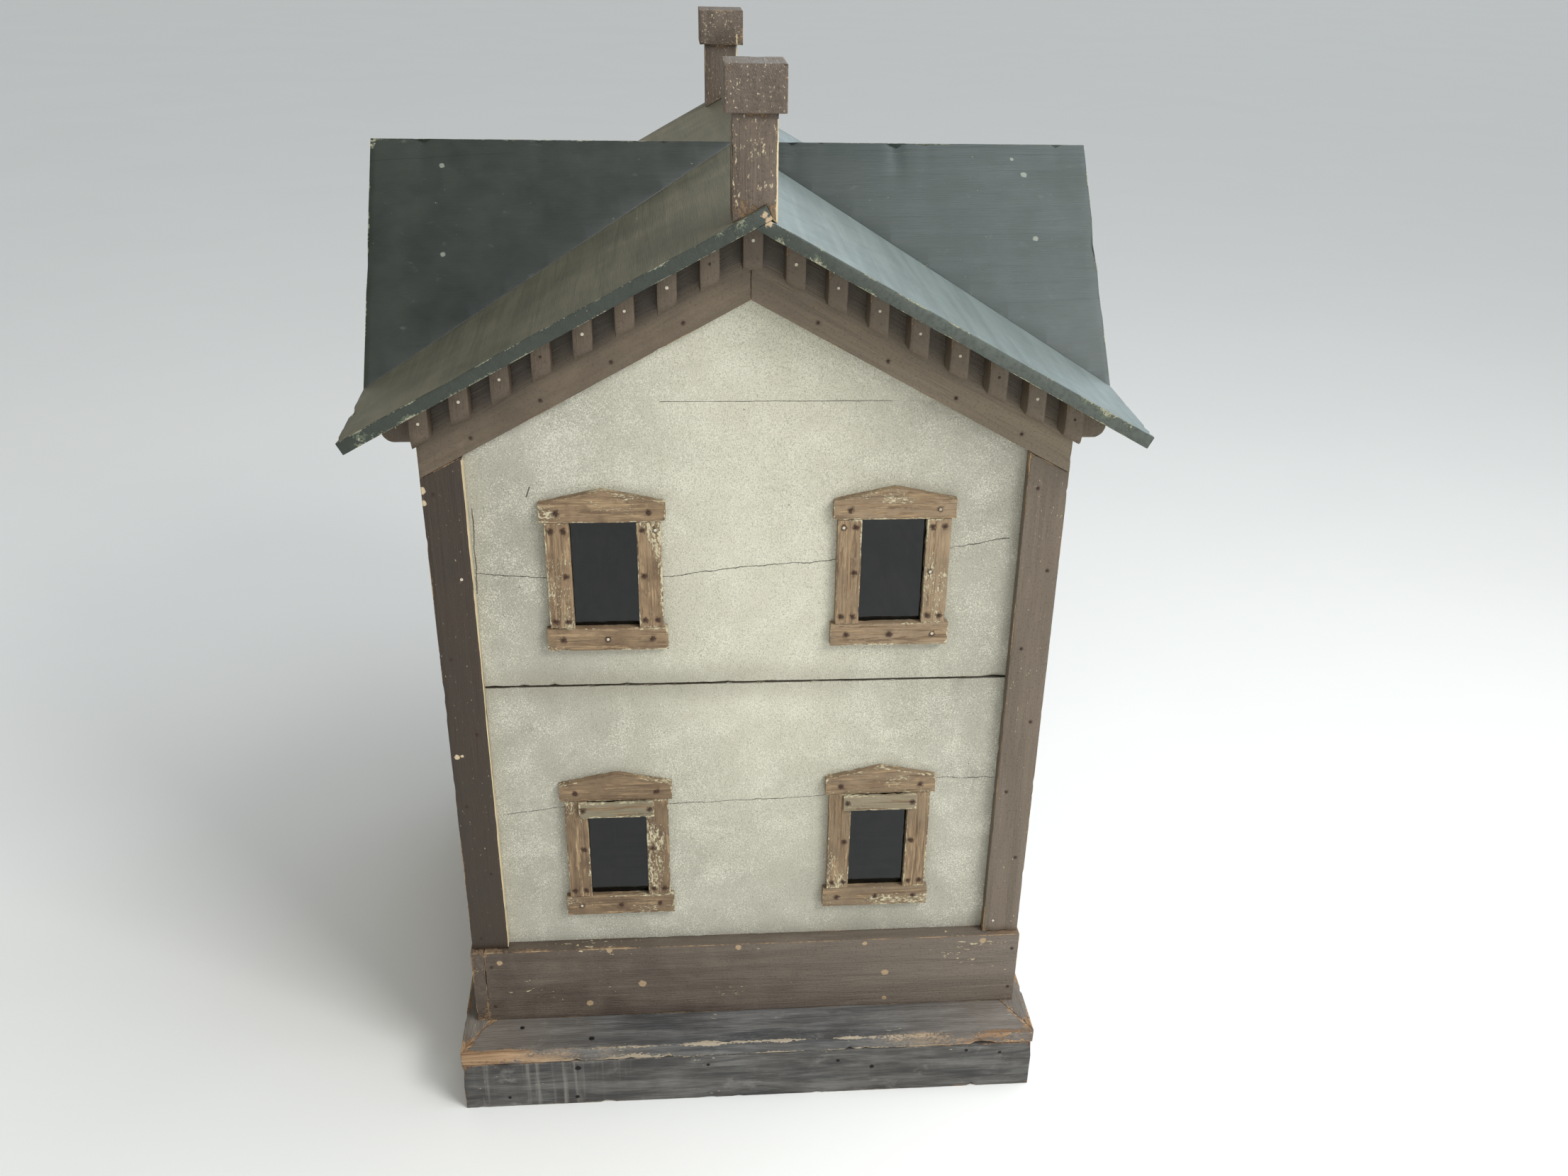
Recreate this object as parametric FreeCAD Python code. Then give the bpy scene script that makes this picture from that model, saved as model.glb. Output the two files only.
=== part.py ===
"""Antique wooden dollhouse: two storeys and an attic under a cross-gable roof.

The front looks towards -Y, +X is to its right and +Z is up.  The origin is the
middle of the rectangle that the base covers on the floor.  Sizes are in
millimetres.  Each piece of wood, glass or metal is a solid of its own.
"""
import FreeCAD
import Part
import math
import os
from FreeCAD import Vector

os.makedirs("parts", exist_ok=True)

# --- Overall sizes ---------------------------------------------------------
HOUSE_WIDTH = 610.0          # outside of the corner boards, left to right
HOUSE_DEPTH = 600.0          # outside of the corner boards, front to back
EAVE_LIFT = 59.5             # attic floor's underside to the roof's at the corners
FRONT_PITCH = 28.0           # degrees, front and rear gables
SIDE_PITCH = 44.0            # degrees, left and right gables
EAVE_OVERHANG = 59.0         # roof past the side trim, measured level
RAKE_OVERHANG = 59.0         # roof past the front and rear trim
ROOF_BOARD = 12.0            # thickness of the roof boards
RIDGE_LAP = 2.0              # the lapping board runs this far past its neighbour
CUT_MARGIN = 10.0            # a valley cut runs this far past the roof
CUT_DEPTH = 400.0            # and from this far below the ridge

# --- Base, ledge and skirting ----------------------------------------------
BASE_HEIGHT = 62.5
BASE_BOARD = 19.0            # thickness of the base boards
LEDGE_THICK = 18.0
LEDGE_FRONT = 61.5           # ledge past the trim at the front and the rear
LEDGE_SIDE = 16.0            # ledge past the trim at the sides
LEDGE_FRONT_WIDTH = 86.5
LEDGE_SIDE_WIDTH = 46.0
SKIRT_HEIGHT = 95.0
SKIRT_FRONT_THICK = 19.5
SKIRT_SIDE_THICK = 14.5

# --- Walls and trim --------------------------------------------------------
WALL = 12.5                  # thickness of the wall boards
TRIM = 12.5                  # thickness of corner boards and friezes
CORNER_WIDTH = 40.0
FRIEZE_WIDTH = 63.5
GABLE_BOARD_SIDE = 11.0      # height of the front gable board at its ends
SEAM_GAP = 1.2               # open seam between the storeys
BRACKET_WIDTH = 17.5
BRACKET_DEPTH = 30.0
BRACKET_DROP = 37.0          # hangs this far below the roof
PEAK_DROP = 42.0             # the same for the bracket at the peak
BRACKET_ROUND = 12.0
BRACKETS_A_SIDE = 8
LEVEL_TOLERANCE = 0.01       # finds the edge of a bracket that gets rounded

# --- Floors and partitions -------------------------------------------------
FLOOR_BOARD = 12.0
STOREY = 324.0               # floor top to floor top
UPPER_ROOM = 230.0           # clear height of the upper rooms
PARTITION = 10.0
DOORWAY_WIDTH = 70.0
DOORWAY_HEIGHT = 175.0

# --- Windows ---------------------------------------------------------------
WINDOW_OFFSET = 140.0        # centre of a window from the middle of its wall
FRAME_THICK = 9.0
JAMB_WIDTH = 24.0
SILL_HEIGHT = 24.0
SILL_EXTRA = 4.0             # the sill runs past each jamb
HEAD_EXTRA = 4.5             # the head runs past each jamb
HEAD_SHOULDER = 19.5
HEAD_PEAK = 32.0
UPPER_OPENING = (63.0, 110.0)
LOWER_OPENING = (61.0, 122.0)
UPPER_SILL_LIFT = 37.5       # bottom of the sill above the floor of its room
LOWER_SILL_LIFT = 40.0
GLASS_THICK = 2.0
GLASS_LAP = 6.0              # the pane runs this far behind the frame, all round
STRIP_HEIGHT = 19.0
STRIP_THICK = 4.0
STRIP_LAP = 9.0              # the strip runs this far over each jamb

# --- Rear doors ------------------------------------------------------------
DOOR_THICK = 12.0
DOOR_GAP = 1.5               # running gap round and between the doors
DOOR_BACK_GAP = 0.5          # air behind a closed door
HEAD_RAIL = 25.0
HINGE_LENGTH = 50.0
HINGE_FROM_END = 60.0
LEAF_WIDTH = 17.0
LEAF_THICK = 1.0
LEAF_CLEARANCE = 0.3         # leaf to the barrel
BARREL_RADIUS = 2.5
PIN_RADIUS = 1.2
PIN_CLEARANCE = 0.05
KNUCKLE_GAP = 0.4
KNOB_RADIUS = 10.0
KNOB_STANDOFF = 19.0
KNOB_NECK = 4.5
KNOB_FOOT = 5.85
KNOB_WAIST = 6.65            # height of the neck's narrowest point
KNOB_CROWN = 7.6             # height of the rounded head
KNOB_FROM_EDGE = 24.0
KNOB_HEIGHT = 440.0
BUTTON_LENGTH = 48.0
BUTTON_WIDTH = 13.0
BUTTON_THICK = 6.0
BUTTON_GAP = 0.4
BUTTON_FROM_EDGE = 15.0
BUTTON_HEIGHT = 560.0
SCREW_RADIUS = 1.6
SCREW_HEAD = 3.6
SCREW_HEAD_THICK = 1.5

# --- Chimneys --------------------------------------------------------------
STACK = 38.0
CAP = 51.0
CAP_HEIGHT = 36.5
CHIMNEY_SETBACK = 5.0        # front of the stack behind the edge of the roof
FRONT_STACK_RISE = 75.0      # stack above the ridge
REAR_STACK_RISE = 58.5

# --- Nails -----------------------------------------------------------------
NAIL_RADIUS = 1.6
NAIL_PROUD = 0.6
NAIL_INSET = 8.0             # from the end of a jamb
CORNER_NAILS = 7             # up each corner board
CORNER_NAIL_SHIFT = 9.0      # to either side of the board's middle line
CORNER_NAIL_INSET = 15.0     # from each end of the board
FRIEZE_NAILS = (60.0, 125.0, 190.0, 255.0)
FRIEZE_NAIL_RISE = 12.0      # above the frieze's lower edge
SKIRT_NAILS = (20.0, 75.0)   # above the ledge, at each end of the skirting
BRACKET_NAIL_DROP = 14.8     # below the roof

# --- Worked out from the sizes above ---------------------------------------
HALF_WIDTH = HOUSE_WIDTH / 2
HALF_DEPTH = HOUSE_DEPTH / 2
WALL_X = HALF_WIDTH - TRIM
WALL_Y = HALF_DEPTH - TRIM
INNER_X = WALL_X - WALL
INNER_Y = WALL_Y - WALL
FRONT_RISE = math.tan(math.radians(FRONT_PITCH))
SIDE_RISE = math.tan(math.radians(SIDE_PITCH))
FRONT_DROP = ROOF_BOARD / math.cos(math.radians(FRONT_PITCH))
SIDE_DROP = ROOF_BOARD / math.cos(math.radians(SIDE_PITCH))
ROOF_X = HALF_WIDTH + EAVE_OVERHANG
ROOF_Y = HALF_DEPTH + RAKE_OVERHANG
LEDGE_TOP = BASE_HEIGHT + LEDGE_THICK
LEDGE_X = HALF_WIDTH + LEDGE_SIDE
LEDGE_Y = HALF_DEPTH + LEDGE_FRONT
GROUND_Z = LEDGE_TOP + SKIRT_HEIGHT
UPPER_Z = GROUND_Z + STOREY
ATTIC_UNDER = UPPER_Z + UPPER_ROOM
EAVE_HEIGHT = ATTIC_UNDER + EAVE_LIFT
RIDGE_Z = EAVE_HEIGHT + FRONT_DROP + FRONT_RISE * HALF_WIDTH
STOREY_SEAM = UPPER_Z - FLOOR_BOARD / 2
FRIEZE_DROP = FRIEZE_WIDTH / math.cos(math.radians(FRONT_PITCH))
SIDE_FRIEZE_DROP = FRIEZE_WIDTH / math.cos(math.radians(SIDE_PITCH))
DOOR_TOP = ATTIC_UNDER + DOOR_GAP
DOOR_BOTTOM = GROUND_Z + DOOR_GAP
DOOR_EDGE = HALF_WIDTH - CORNER_WIDTH - DOOR_GAP
HINGE_X = HALF_WIDTH - CORNER_WIDTH - DOOR_GAP / 2
HINGE_Y = HALF_DEPTH + BARREL_RADIUS

FACES = {
    "front": (0.0, WALL_Y),
    "right": (90.0, WALL_X),
    "rear": (180.0, WALL_Y),
    "left": (270.0, WALL_X),
}


# --- Helpers ---------------------------------------------------------------
def block(x0, x1, y0, y1, z0, z1):
    """A box between two opposite corners."""
    return Part.makeBox(x1 - x0, y1 - y0, z1 - z0, Vector(x0, y0, z0))


def prism(points, direction, start, length):
    """Extrude a closed outline.  direction says which axis it runs along."""
    place = {
        "x": lambda a, b: Vector(start, a, b),
        "y": lambda a, b: Vector(a, start, b),
        "z": lambda a, b: Vector(a, b, start),
    }[direction]
    run = {
        "x": Vector(length, 0, 0),
        "y": Vector(0, length, 0),
        "z": Vector(0, 0, length),
    }[direction]
    corners = [place(a, b) for a, b in points]
    outline = Part.makePolygon(corners + corners[:1])
    return Part.Face(outline).extrude(run)


def on_face(shape, face):
    """Move a shape made against a wall plane at y = 0 onto one of the four walls."""
    angle, distance = FACES[face]
    moved = shape.copy()
    moved.translate(Vector(0, -distance, 0))
    moved.rotate(Vector(0, 0, 0), Vector(0, 0, 1), angle)
    return moved


def write(name, solids):
    """Write one node: a single solid, or a group of separate ones."""
    shape = solids[0] if len(solids) == 1 else Part.makeCompound(solids)
    if not shape.isValid():
        raise ValueError(name + " is not a valid shape")
    shape.exportStep(os.path.join("parts", name + ".step"))
    print(name, len(solids), "solid(s)", round(shape.Volume / 1000.0, 1), "cm3")


def under_roof(piece, roof):
    """Cut a piece on a side wall where a roof board comes down into it."""
    for board in roof:
        piece = piece.cut(board)
    return piece.Solids[0]


def under_front(x):
    """Underside of the front and rear gable roofs above the point x."""
    return RIDGE_Z - FRONT_DROP - FRONT_RISE * abs(x)


def under_side(y):
    """Underside of the left and right gable roofs above the point y."""
    return RIDGE_Z - SIDE_DROP - SIDE_RISE * abs(y)


def side_shoulder(x):
    """Distance from the middle at which the side gable meets the eave, at x."""
    return (RIDGE_Z - SIDE_DROP - under_front(x)) / SIDE_RISE


# --- Base ------------------------------------------------------------------
def make_base():
    side_y = LEDGE_Y - BASE_BOARD
    write("base_front_board", [block(-LEDGE_X, LEDGE_X, -LEDGE_Y, -side_y, 0, BASE_HEIGHT)])
    write("base_rear_board", [block(-LEDGE_X, LEDGE_X, side_y, LEDGE_Y, 0, BASE_HEIGHT)])
    sides = [
        block(-LEDGE_X, -LEDGE_X + BASE_BOARD, -side_y, side_y, 0, BASE_HEIGHT),
        block(LEDGE_X - BASE_BOARD, LEDGE_X, -side_y, side_y, 0, BASE_HEIGHT),
    ]
    write("base_side_boards", sides)


def make_ledge():
    """Four flat boards on the base, with mitred corners."""
    in_x = LEDGE_X - LEDGE_SIDE_WIDTH
    in_y = LEDGE_Y - LEDGE_FRONT_WIDTH
    across = [(-LEDGE_X, -LEDGE_Y), (LEDGE_X, -LEDGE_Y), (in_x, -in_y), (-in_x, -in_y)]
    along = [(LEDGE_X, -LEDGE_Y), (LEDGE_X, LEDGE_Y), (in_x, in_y), (in_x, -in_y)]
    turned = [(-x, -y) for x, y in across]
    mirrored = [(-x, -y) for x, y in along]
    write("ledge_front_board", [prism(across, "z", BASE_HEIGHT, LEDGE_THICK)])
    write("ledge_rear_board", [prism(turned, "z", BASE_HEIGHT, LEDGE_THICK)])
    boards = [prism(line, "z", BASE_HEIGHT, LEDGE_THICK) for line in (along, mirrored)]
    write("ledge_side_boards", boards)


def make_skirting():
    """The front board laps the right side board and stops at the left one."""
    out_x = WALL_X + SKIRT_SIDE_THICK
    out_y = WALL_Y + SKIRT_FRONT_THICK
    low, high = LEDGE_TOP, GROUND_Z
    write("skirting_front", [block(-WALL_X, out_x, -out_y, -WALL_Y, low, high)])
    write("skirting_rear", [block(-out_x, WALL_X, WALL_Y, out_y, low, high)])
    sides = [
        block(-out_x, -WALL_X, -out_y, WALL_Y, low, high),
        block(WALL_X, out_x, -WALL_Y, out_y, low, high),
    ]
    write("skirting_sides", sides)


# --- Windows ---------------------------------------------------------------
def window_openings():
    """The windows of one wall: centre, bottom of the opening, width, height."""
    rows = [
        ("lower", GROUND_Z + LOWER_SILL_LIFT, LOWER_OPENING),
        ("upper", UPPER_Z + UPPER_SILL_LIFT, UPPER_OPENING),
    ]
    found = []
    for row, sill_bottom, (width, height) in rows:
        for side, sign in (("left", -1), ("right", 1)):
            bottom = sill_bottom + SILL_HEIGHT
            found.append((row, side, sign * WINDOW_OFFSET, bottom, width, height))
    return found


def window_frame(centre, bottom, width, height):
    """Sill, two jambs and a gabled head, nailed on the face of the wall."""
    half = width / 2
    outer = half + JAMB_WIDTH
    top = bottom + height
    sill_half = outer + SILL_EXTRA
    head_half = outer + HEAD_EXTRA
    sill = block(-sill_half, sill_half, -FRAME_THICK, 0, bottom - SILL_HEIGHT, bottom)
    left_jamb = block(-outer, -half, -FRAME_THICK, 0, bottom, top)
    right_jamb = block(half, outer, -FRAME_THICK, 0, bottom, top)
    outline = [
        (-head_half, top),
        (head_half, top),
        (head_half, top + HEAD_SHOULDER),
        (0, top + HEAD_PEAK),
        (-head_half, top + HEAD_SHOULDER),
    ]
    head = prism(outline, "y", -FRAME_THICK, FRAME_THICK)
    pieces = [sill, left_jamb, right_jamb, head]
    for piece in pieces:
        piece.translate(Vector(centre, 0, 0))
    return pieces


def window_pane(centre, bottom, width, height):
    """A pane of glass in a rebate of the wall, held in by the frame."""
    half = width / 2 + GLASS_LAP
    low, high = bottom - GLASS_LAP, bottom + height + GLASS_LAP
    return block(centre - half, centre + half, 0, GLASS_THICK, low, high)


def make_windows():
    panes = []
    strips = []
    for row, side, centre, bottom, width, height in window_openings():
        frame = window_frame(centre, bottom, width, height)
        name = "window_frame_" + row + "_" + side
        write(name, [on_face(piece, "front") for piece in frame])
        panes.append(on_face(window_pane(centre, bottom, width, height), "front"))
        if row == "lower":
            half = width / 2 + STRIP_LAP
            top = bottom + height
            strip = block(centre - half, centre + half, -FRAME_THICK - STRIP_THICK,
                          -FRAME_THICK, top - STRIP_HEIGHT, top)
            strips.append(on_face(strip, "front"))
    write("window_strips", strips)
    side_frames = []
    for face in ("left", "right"):
        for row, side, centre, bottom, width, height in window_openings():
            frame = window_frame(centre, bottom, width, height)
            side_frames += [on_face(piece, face) for piece in frame]
            panes.append(on_face(window_pane(centre, bottom, width, height), face))
    write("side_window_frames", side_frames)
    write("window_panes", panes)


def cut_openings(board):
    """Cut the window openings and the rebates for their panes in a wall board."""
    for row, side, centre, bottom, width, height in window_openings():
        half = width / 2
        hole = block(centre - half, centre + half, 0, WALL, bottom, bottom + height)
        board = board.cut(hole).cut(window_pane(centre, bottom, width, height))
    return board


# --- Walls -----------------------------------------------------------------
def wall_boards(low_u, high_u, seam, gable):
    """Three wide boards one above the other; gable is the top one's outline."""
    lower = block(low_u, high_u, 0, WALL, LEDGE_TOP, STOREY_SEAM)
    upper = block(low_u, high_u, 0, WALL, STOREY_SEAM + SEAM_GAP, seam)
    boards = [cut_openings(lower).Solids[0], cut_openings(upper).Solids[0]]
    return boards + [prism(gable, "y", 0, WALL)]


def make_walls(roof):
    eave = under_front(WALL_X)
    seam = eave - GABLE_BOARD_SIDE
    outline = [(-WALL_X, seam), (WALL_X, seam), (WALL_X, eave), (0, under_front(0)), (-WALL_X, eave)]
    lower, upper, gable = wall_boards(-WALL_X, WALL_X, seam, outline)
    write("front_wall_lower_board", [on_face(lower, "front")])
    write("front_wall_upper_board", [on_face(upper, "front")])
    write("front_wall_gable_board", [on_face(gable, "front")])
    shoulder = side_shoulder(WALL_X)
    triangle = [(-shoulder, eave), (shoulder, eave), (0, under_side(0))]
    right = wall_boards(-INNER_Y, WALL_Y, eave, triangle)
    left = wall_boards(-WALL_Y, INNER_Y, eave, triangle)
    for face, boards in (("right", right), ("left", left)):
        placed = [under_roof(on_face(board, face), roof[face]) for board in boards]
        write(face + "_wall_boards", placed)
    rear_line = [(-INNER_X, ATTIC_UNDER), (INNER_X, ATTIC_UNDER), (INNER_X, under_front(INNER_X)),
                 (0, under_front(0)), (-INNER_X, under_front(INNER_X))]
    rear_gable = prism(rear_line, "y", 0, WALL)
    rear_sill = block(-INNER_X, INNER_X, 0, WALL, LEDGE_TOP, GROUND_Z)
    write("rear_wall_boards", [on_face(rear_sill, "rear"), on_face(rear_gable, "rear")])


# --- Trim ------------------------------------------------------------------
def frieze_edge(x):
    """Lower edge of the front and rear friezes at x."""
    return under_front(x) - FRIEZE_DROP


def make_corner_boards():
    inner = HALF_WIDTH - CORNER_WIDTH
    outline = [
        (inner, GROUND_Z),
        (HALF_WIDTH, GROUND_Z),
        (HALF_WIDTH, frieze_edge(HALF_WIDTH)),
        (inner, frieze_edge(inner)),
    ]
    mirrored = [(-x, z) for x, z in outline]
    boards = [prism(line, "y", -TRIM, TRIM) for line in (mirrored, outline)]
    write("front_corner_boards", [on_face(board, "front") for board in boards])
    write("rear_corner_boards", [on_face(board, "rear") for board in boards])
    top = side_frieze_level()
    side_boards = []
    for face in ("left", "right"):
        for sign in (-1, 1):
            ends = sorted((sign * WALL_Y, sign * (HALF_DEPTH - CORNER_WIDTH)))
            board = block(ends[0], ends[1], -TRIM, 0, GROUND_Z, top)
            side_boards.append(on_face(board, face))
    write("side_corner_boards", side_boards)


def side_frieze_level():
    """Lower edge of the level friezes along the side eaves."""
    return under_front(HALF_WIDTH) - FRIEZE_WIDTH


def make_friezes(roof):
    outline = [
        (0, frieze_edge(0)),
        (HALF_WIDTH, frieze_edge(HALF_WIDTH)),
        (HALF_WIDTH, under_front(HALF_WIDTH)),
        (0, under_front(0)),
    ]
    mirrored = [(-x, z) for x, z in outline]
    right = prism(outline, "y", -TRIM, TRIM)
    left = prism(mirrored, "y", -TRIM, TRIM)
    write("front_frieze_left", [on_face(left, "front")])
    write("front_frieze_right", [on_face(right, "front")])
    write("rear_friezes", [on_face(left, "rear"), on_face(right, "rear")])
    level_low, level_high = side_frieze_level(), under_front(HALF_WIDTH)
    high_joint = side_shoulder(HALF_WIDTH)
    low_joint = (under_side(0) - SIDE_FRIEZE_DROP - level_low) / SIDE_RISE
    level = [(low_joint, level_low), (WALL_Y, level_low), (WALL_Y, level_high), (high_joint, level_high)]
    rake = [
        (0, under_side(0) - SIDE_FRIEZE_DROP),
        (low_joint, level_low),
        (high_joint, level_high),
        (0, under_side(0)),
    ]
    pieces = []
    for face in ("left", "right"):
        for sign in (-1, 1):
            for line in (level, rake):
                turned = [(sign * u, z) for u, z in line]
                piece = on_face(prism(turned, "y", -TRIM, TRIM), face)
                pieces.append(under_roof(piece, roof[face]))
    write("side_friezes", pieces)


def rounded(bracket, floor_z):
    """Round the lower front edge of a bracket."""
    front = -TRIM - BRACKET_DEPTH
    for edge in bracket.Edges:
        middle = edge.BoundBox.Center
        level = abs(middle.y - front) < LEVEL_TOLERANCE and edge.BoundBox.YLength < LEVEL_TOLERANCE
        if level and abs(middle.z - floor_z) < LEVEL_TOLERANCE and edge.BoundBox.XLength > LEVEL_TOLERANCE:
            return bracket.makeFillet(BRACKET_ROUND, [edge]).Solids[0]
    return bracket


def rake_bracket(u, under):
    """A bracket below a sloping edge; its foot is cut to the slope."""
    half = BRACKET_WIDTH / 2
    left, right = u - half, u + half
    if left < 0 < right:
        foot = under(0) - PEAK_DROP
        line = [(left, foot), (right, foot), (right, under(right)), (0, under(0)), (left, under(left))]
        floor_z = foot
    else:
        line = [(left, under(left) - BRACKET_DROP), (right, under(right) - BRACKET_DROP),
                (right, under(right)), (left, under(left))]
        floor_z = under(u) - BRACKET_DROP
    return rounded(prism(line, "y", -TRIM - BRACKET_DEPTH, BRACKET_DEPTH), floor_z)


def eave_bracket(u):
    """A bracket below a level eave; its top is cut to the slope of the roof."""
    near, far = HALF_WIDTH, HALF_WIDTH + BRACKET_DEPTH
    foot = under_front(near) - BRACKET_DROP
    line = [(-TRIM, foot), (-TRIM, under_front(near)), (-TRIM - BRACKET_DEPTH, under_front(far)),
            (-TRIM - BRACKET_DEPTH, foot)]
    return rounded(prism(line, "x", u - BRACKET_WIDTH / 2, BRACKET_WIDTH), foot)


def bracket_places(half_length):
    pitch = (half_length - BRACKET_WIDTH / 2) / BRACKETS_A_SIDE
    return [pitch * number for number in range(-BRACKETS_A_SIDE, BRACKETS_A_SIDE + 1)]


def make_brackets(roof):
    gable = [rake_bracket(u, under_front) for u in bracket_places(HALF_WIDTH)]
    write("front_brackets", [on_face(piece, "front") for piece in gable])
    write("rear_brackets", [on_face(piece, "rear") for piece in gable])
    side = []
    shoulder = side_shoulder(HALF_WIDTH)
    for u in bracket_places(HALF_DEPTH):
        if abs(u) + BRACKET_WIDTH / 2 < shoulder:
            side.append(rake_bracket(u, under_side))
        elif abs(u) - BRACKET_WIDTH / 2 > shoulder:
            side.append(eave_bracket(u))
    for face in ("left", "right"):
        placed = [under_roof(on_face(piece, face), roof[face]) for piece in side]
        write(face + "_brackets", placed)


# --- Roof ------------------------------------------------------------------
def slope_ends(pitch):
    """Level and upright run of a square-cut board end."""
    turn = math.radians(pitch)
    return ROOF_BOARD * math.sin(turn), ROOF_BOARD * math.cos(turn)


def lap_end():
    """Top and bottom corners of the lapping board's upper end, as (x, z)."""
    run, fall = slope_ends(FRONT_PITCH)
    meet = ROOF_BOARD / (2 * math.sin(math.radians(FRONT_PITCH)))
    foot = meet + RIDGE_LAP
    low = (foot, RIDGE_Z - FRONT_DROP + FRONT_RISE * foot)
    return (foot - run, low[1] + fall), low, meet


def make_front_and_rear_roof():
    """Two boards a side; the left one laps over the right one at the ridge."""
    run, fall = slope_ends(FRONT_PITCH)
    eave_z = RIDGE_Z - FRONT_RISE * ROOF_X
    top_end, low_end, meet = lap_end()
    left = [(-ROOF_X, eave_z), top_end, low_end, (-ROOF_X + run, eave_z - fall)]
    right = [(ROOF_X, eave_z), (meet, RIDGE_Z - FRONT_RISE * meet), (0, RIDGE_Z - FRONT_DROP),
             (ROOF_X - run, eave_z - fall)]
    ratio = FRONT_RISE / SIDE_RISE
    far = ROOF_X + CUT_MARGIN
    edge = ROOF_Y + CUT_MARGIN
    for end, sign in (("front", -1), ("rear", 1)):
        area = [(0, 0), (far, sign * ratio * far), (far, sign * edge),
                (-far, sign * edge), (-far, sign * ratio * far)]
        valley = prism(area, "z", RIDGE_Z - CUT_DEPTH, CUT_DEPTH + CUT_MARGIN)
        for side, outline in (("left", left), ("right", right)):
            start = min(0, sign * ROOF_Y)
            slab = prism(outline, "y", start, ROOF_Y)
            write(end + "_roof_" + side, [slab.common(valley).Solids[0]])


def make_side_roof():
    """The left and right gables: two boards each, mitred into the valleys."""
    corner_y = FRONT_RISE / SIDE_RISE * ROOF_X
    roof = {}
    for side, sign in (("left", -1), ("right", 1)):
        boards = []
        for end in (-1, 1):
            outline = [
                (0, RIDGE_Z),
                (end * corner_y, RIDGE_Z - SIDE_RISE * corner_y),
                (end * corner_y, RIDGE_Z - SIDE_DROP - SIDE_RISE * corner_y),
                (0, RIDGE_Z - SIDE_DROP),
            ]
            slab = prism(outline, "x", min(0, sign * ROOF_X), ROOF_X)
            area = [(0, 0), (sign * ROOF_X, end * corner_y), (sign * ROOF_X, 0)]
            valley = prism(area, "z", RIDGE_Z - CUT_DEPTH, CUT_DEPTH + CUT_MARGIN)
            boards.append(slab.common(valley).Solids[0])
        write("side_roof_" + side, boards)
        roof[side] = boards
    return roof


# --- Chimneys --------------------------------------------------------------
def make_chimneys():
    """Square posts notched over the ridge, each with a block for a cap."""
    half = STACK / 2
    top_end, low_end, _ = lap_end()
    for end, sign, rise in (("front", -1, FRONT_STACK_RISE), ("rear", 1, REAR_STACK_RISE)):
        top = RIDGE_Z + rise
        outline = [(-half, RIDGE_Z - FRONT_RISE * half), top_end, low_end]
        outline += [(low_end[0], RIDGE_Z - FRONT_RISE * low_end[0]), (half, RIDGE_Z - FRONT_RISE * half)]
        outline += [(half, top), (-half, top)]
        face = sign * (ROOF_Y - CHIMNEY_SETBACK)
        start = min(face, face - sign * STACK)
        middle = face - sign * half
        write(end + "_chimney_stack", [prism(outline, "y", start, STACK)])
        cap = block(-CAP / 2, CAP / 2, middle - CAP / 2, middle + CAP / 2, top, top + CAP_HEIGHT)
        write(end + "_chimney_cap", [cap])


# --- Inside ----------------------------------------------------------------
def make_floors():
    write("ground_floor", [block(-INNER_X, INNER_X, -INNER_Y, INNER_Y, GROUND_Z - FLOOR_BOARD, GROUND_Z)])
    rear = WALL_Y - DOOR_BACK_GAP
    write("upper_floor", [block(-INNER_X, INNER_X, -INNER_Y, rear, UPPER_Z - FLOOR_BOARD, UPPER_Z)])
    attic = block(-INNER_X, INNER_X, -INNER_Y, INNER_Y, ATTIC_UNDER, ATTIC_UNDER + FLOOR_BOARD)
    write("attic_floor", [attic])


def make_partitions():
    """A wall down the middle of each storey, framed round a doorway."""
    half = PARTITION / 2
    rear = WALL_Y - DOOR_BACK_GAP
    rooms = (("ground", GROUND_Z, UPPER_Z - FLOOR_BOARD), ("upper", UPPER_Z, ATTIC_UNDER))
    for name, low, high in rooms:
        head = low + DOORWAY_HEIGHT
        near, far = -DOORWAY_WIDTH / 2, DOORWAY_WIDTH / 2
        pieces = [
            block(-half, half, -INNER_Y, near, low, high),
            block(-half, half, far, rear, low, high),
            block(-half, half, near, far, head, high),
        ]
        write(name + "_partition", pieces)


# --- Rear doors ------------------------------------------------------------
def make_head_rail():
    low = DOOR_TOP + DOOR_GAP
    inner = HALF_WIDTH - CORNER_WIDTH
    shelf = (under_front(0) - FRIEZE_DROP - low - HEAD_RAIL) / FRONT_RISE
    line = [(-inner, low), (inner, low), (inner, frieze_edge(inner)), (shelf, low + HEAD_RAIL),
            (-shelf, low + HEAD_RAIL), (-inner, frieze_edge(inner))]
    write("rear_head_rail", [on_face(prism(line, "y", -TRIM, TRIM), "rear")])


def hinge_centres():
    return (DOOR_BOTTOM + HINGE_FROM_END, DOOR_TOP - HINGE_FROM_END)


def knuckle(x, low, high):
    barrel = Part.makeCylinder(BARREL_RADIUS, high - low, Vector(x, HINGE_Y, low))
    bore = Part.makeCylinder(PIN_RADIUS + PIN_CLEARANCE, high - low, Vector(x, HINGE_Y, low))
    return barrel.cut(bore)


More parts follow.
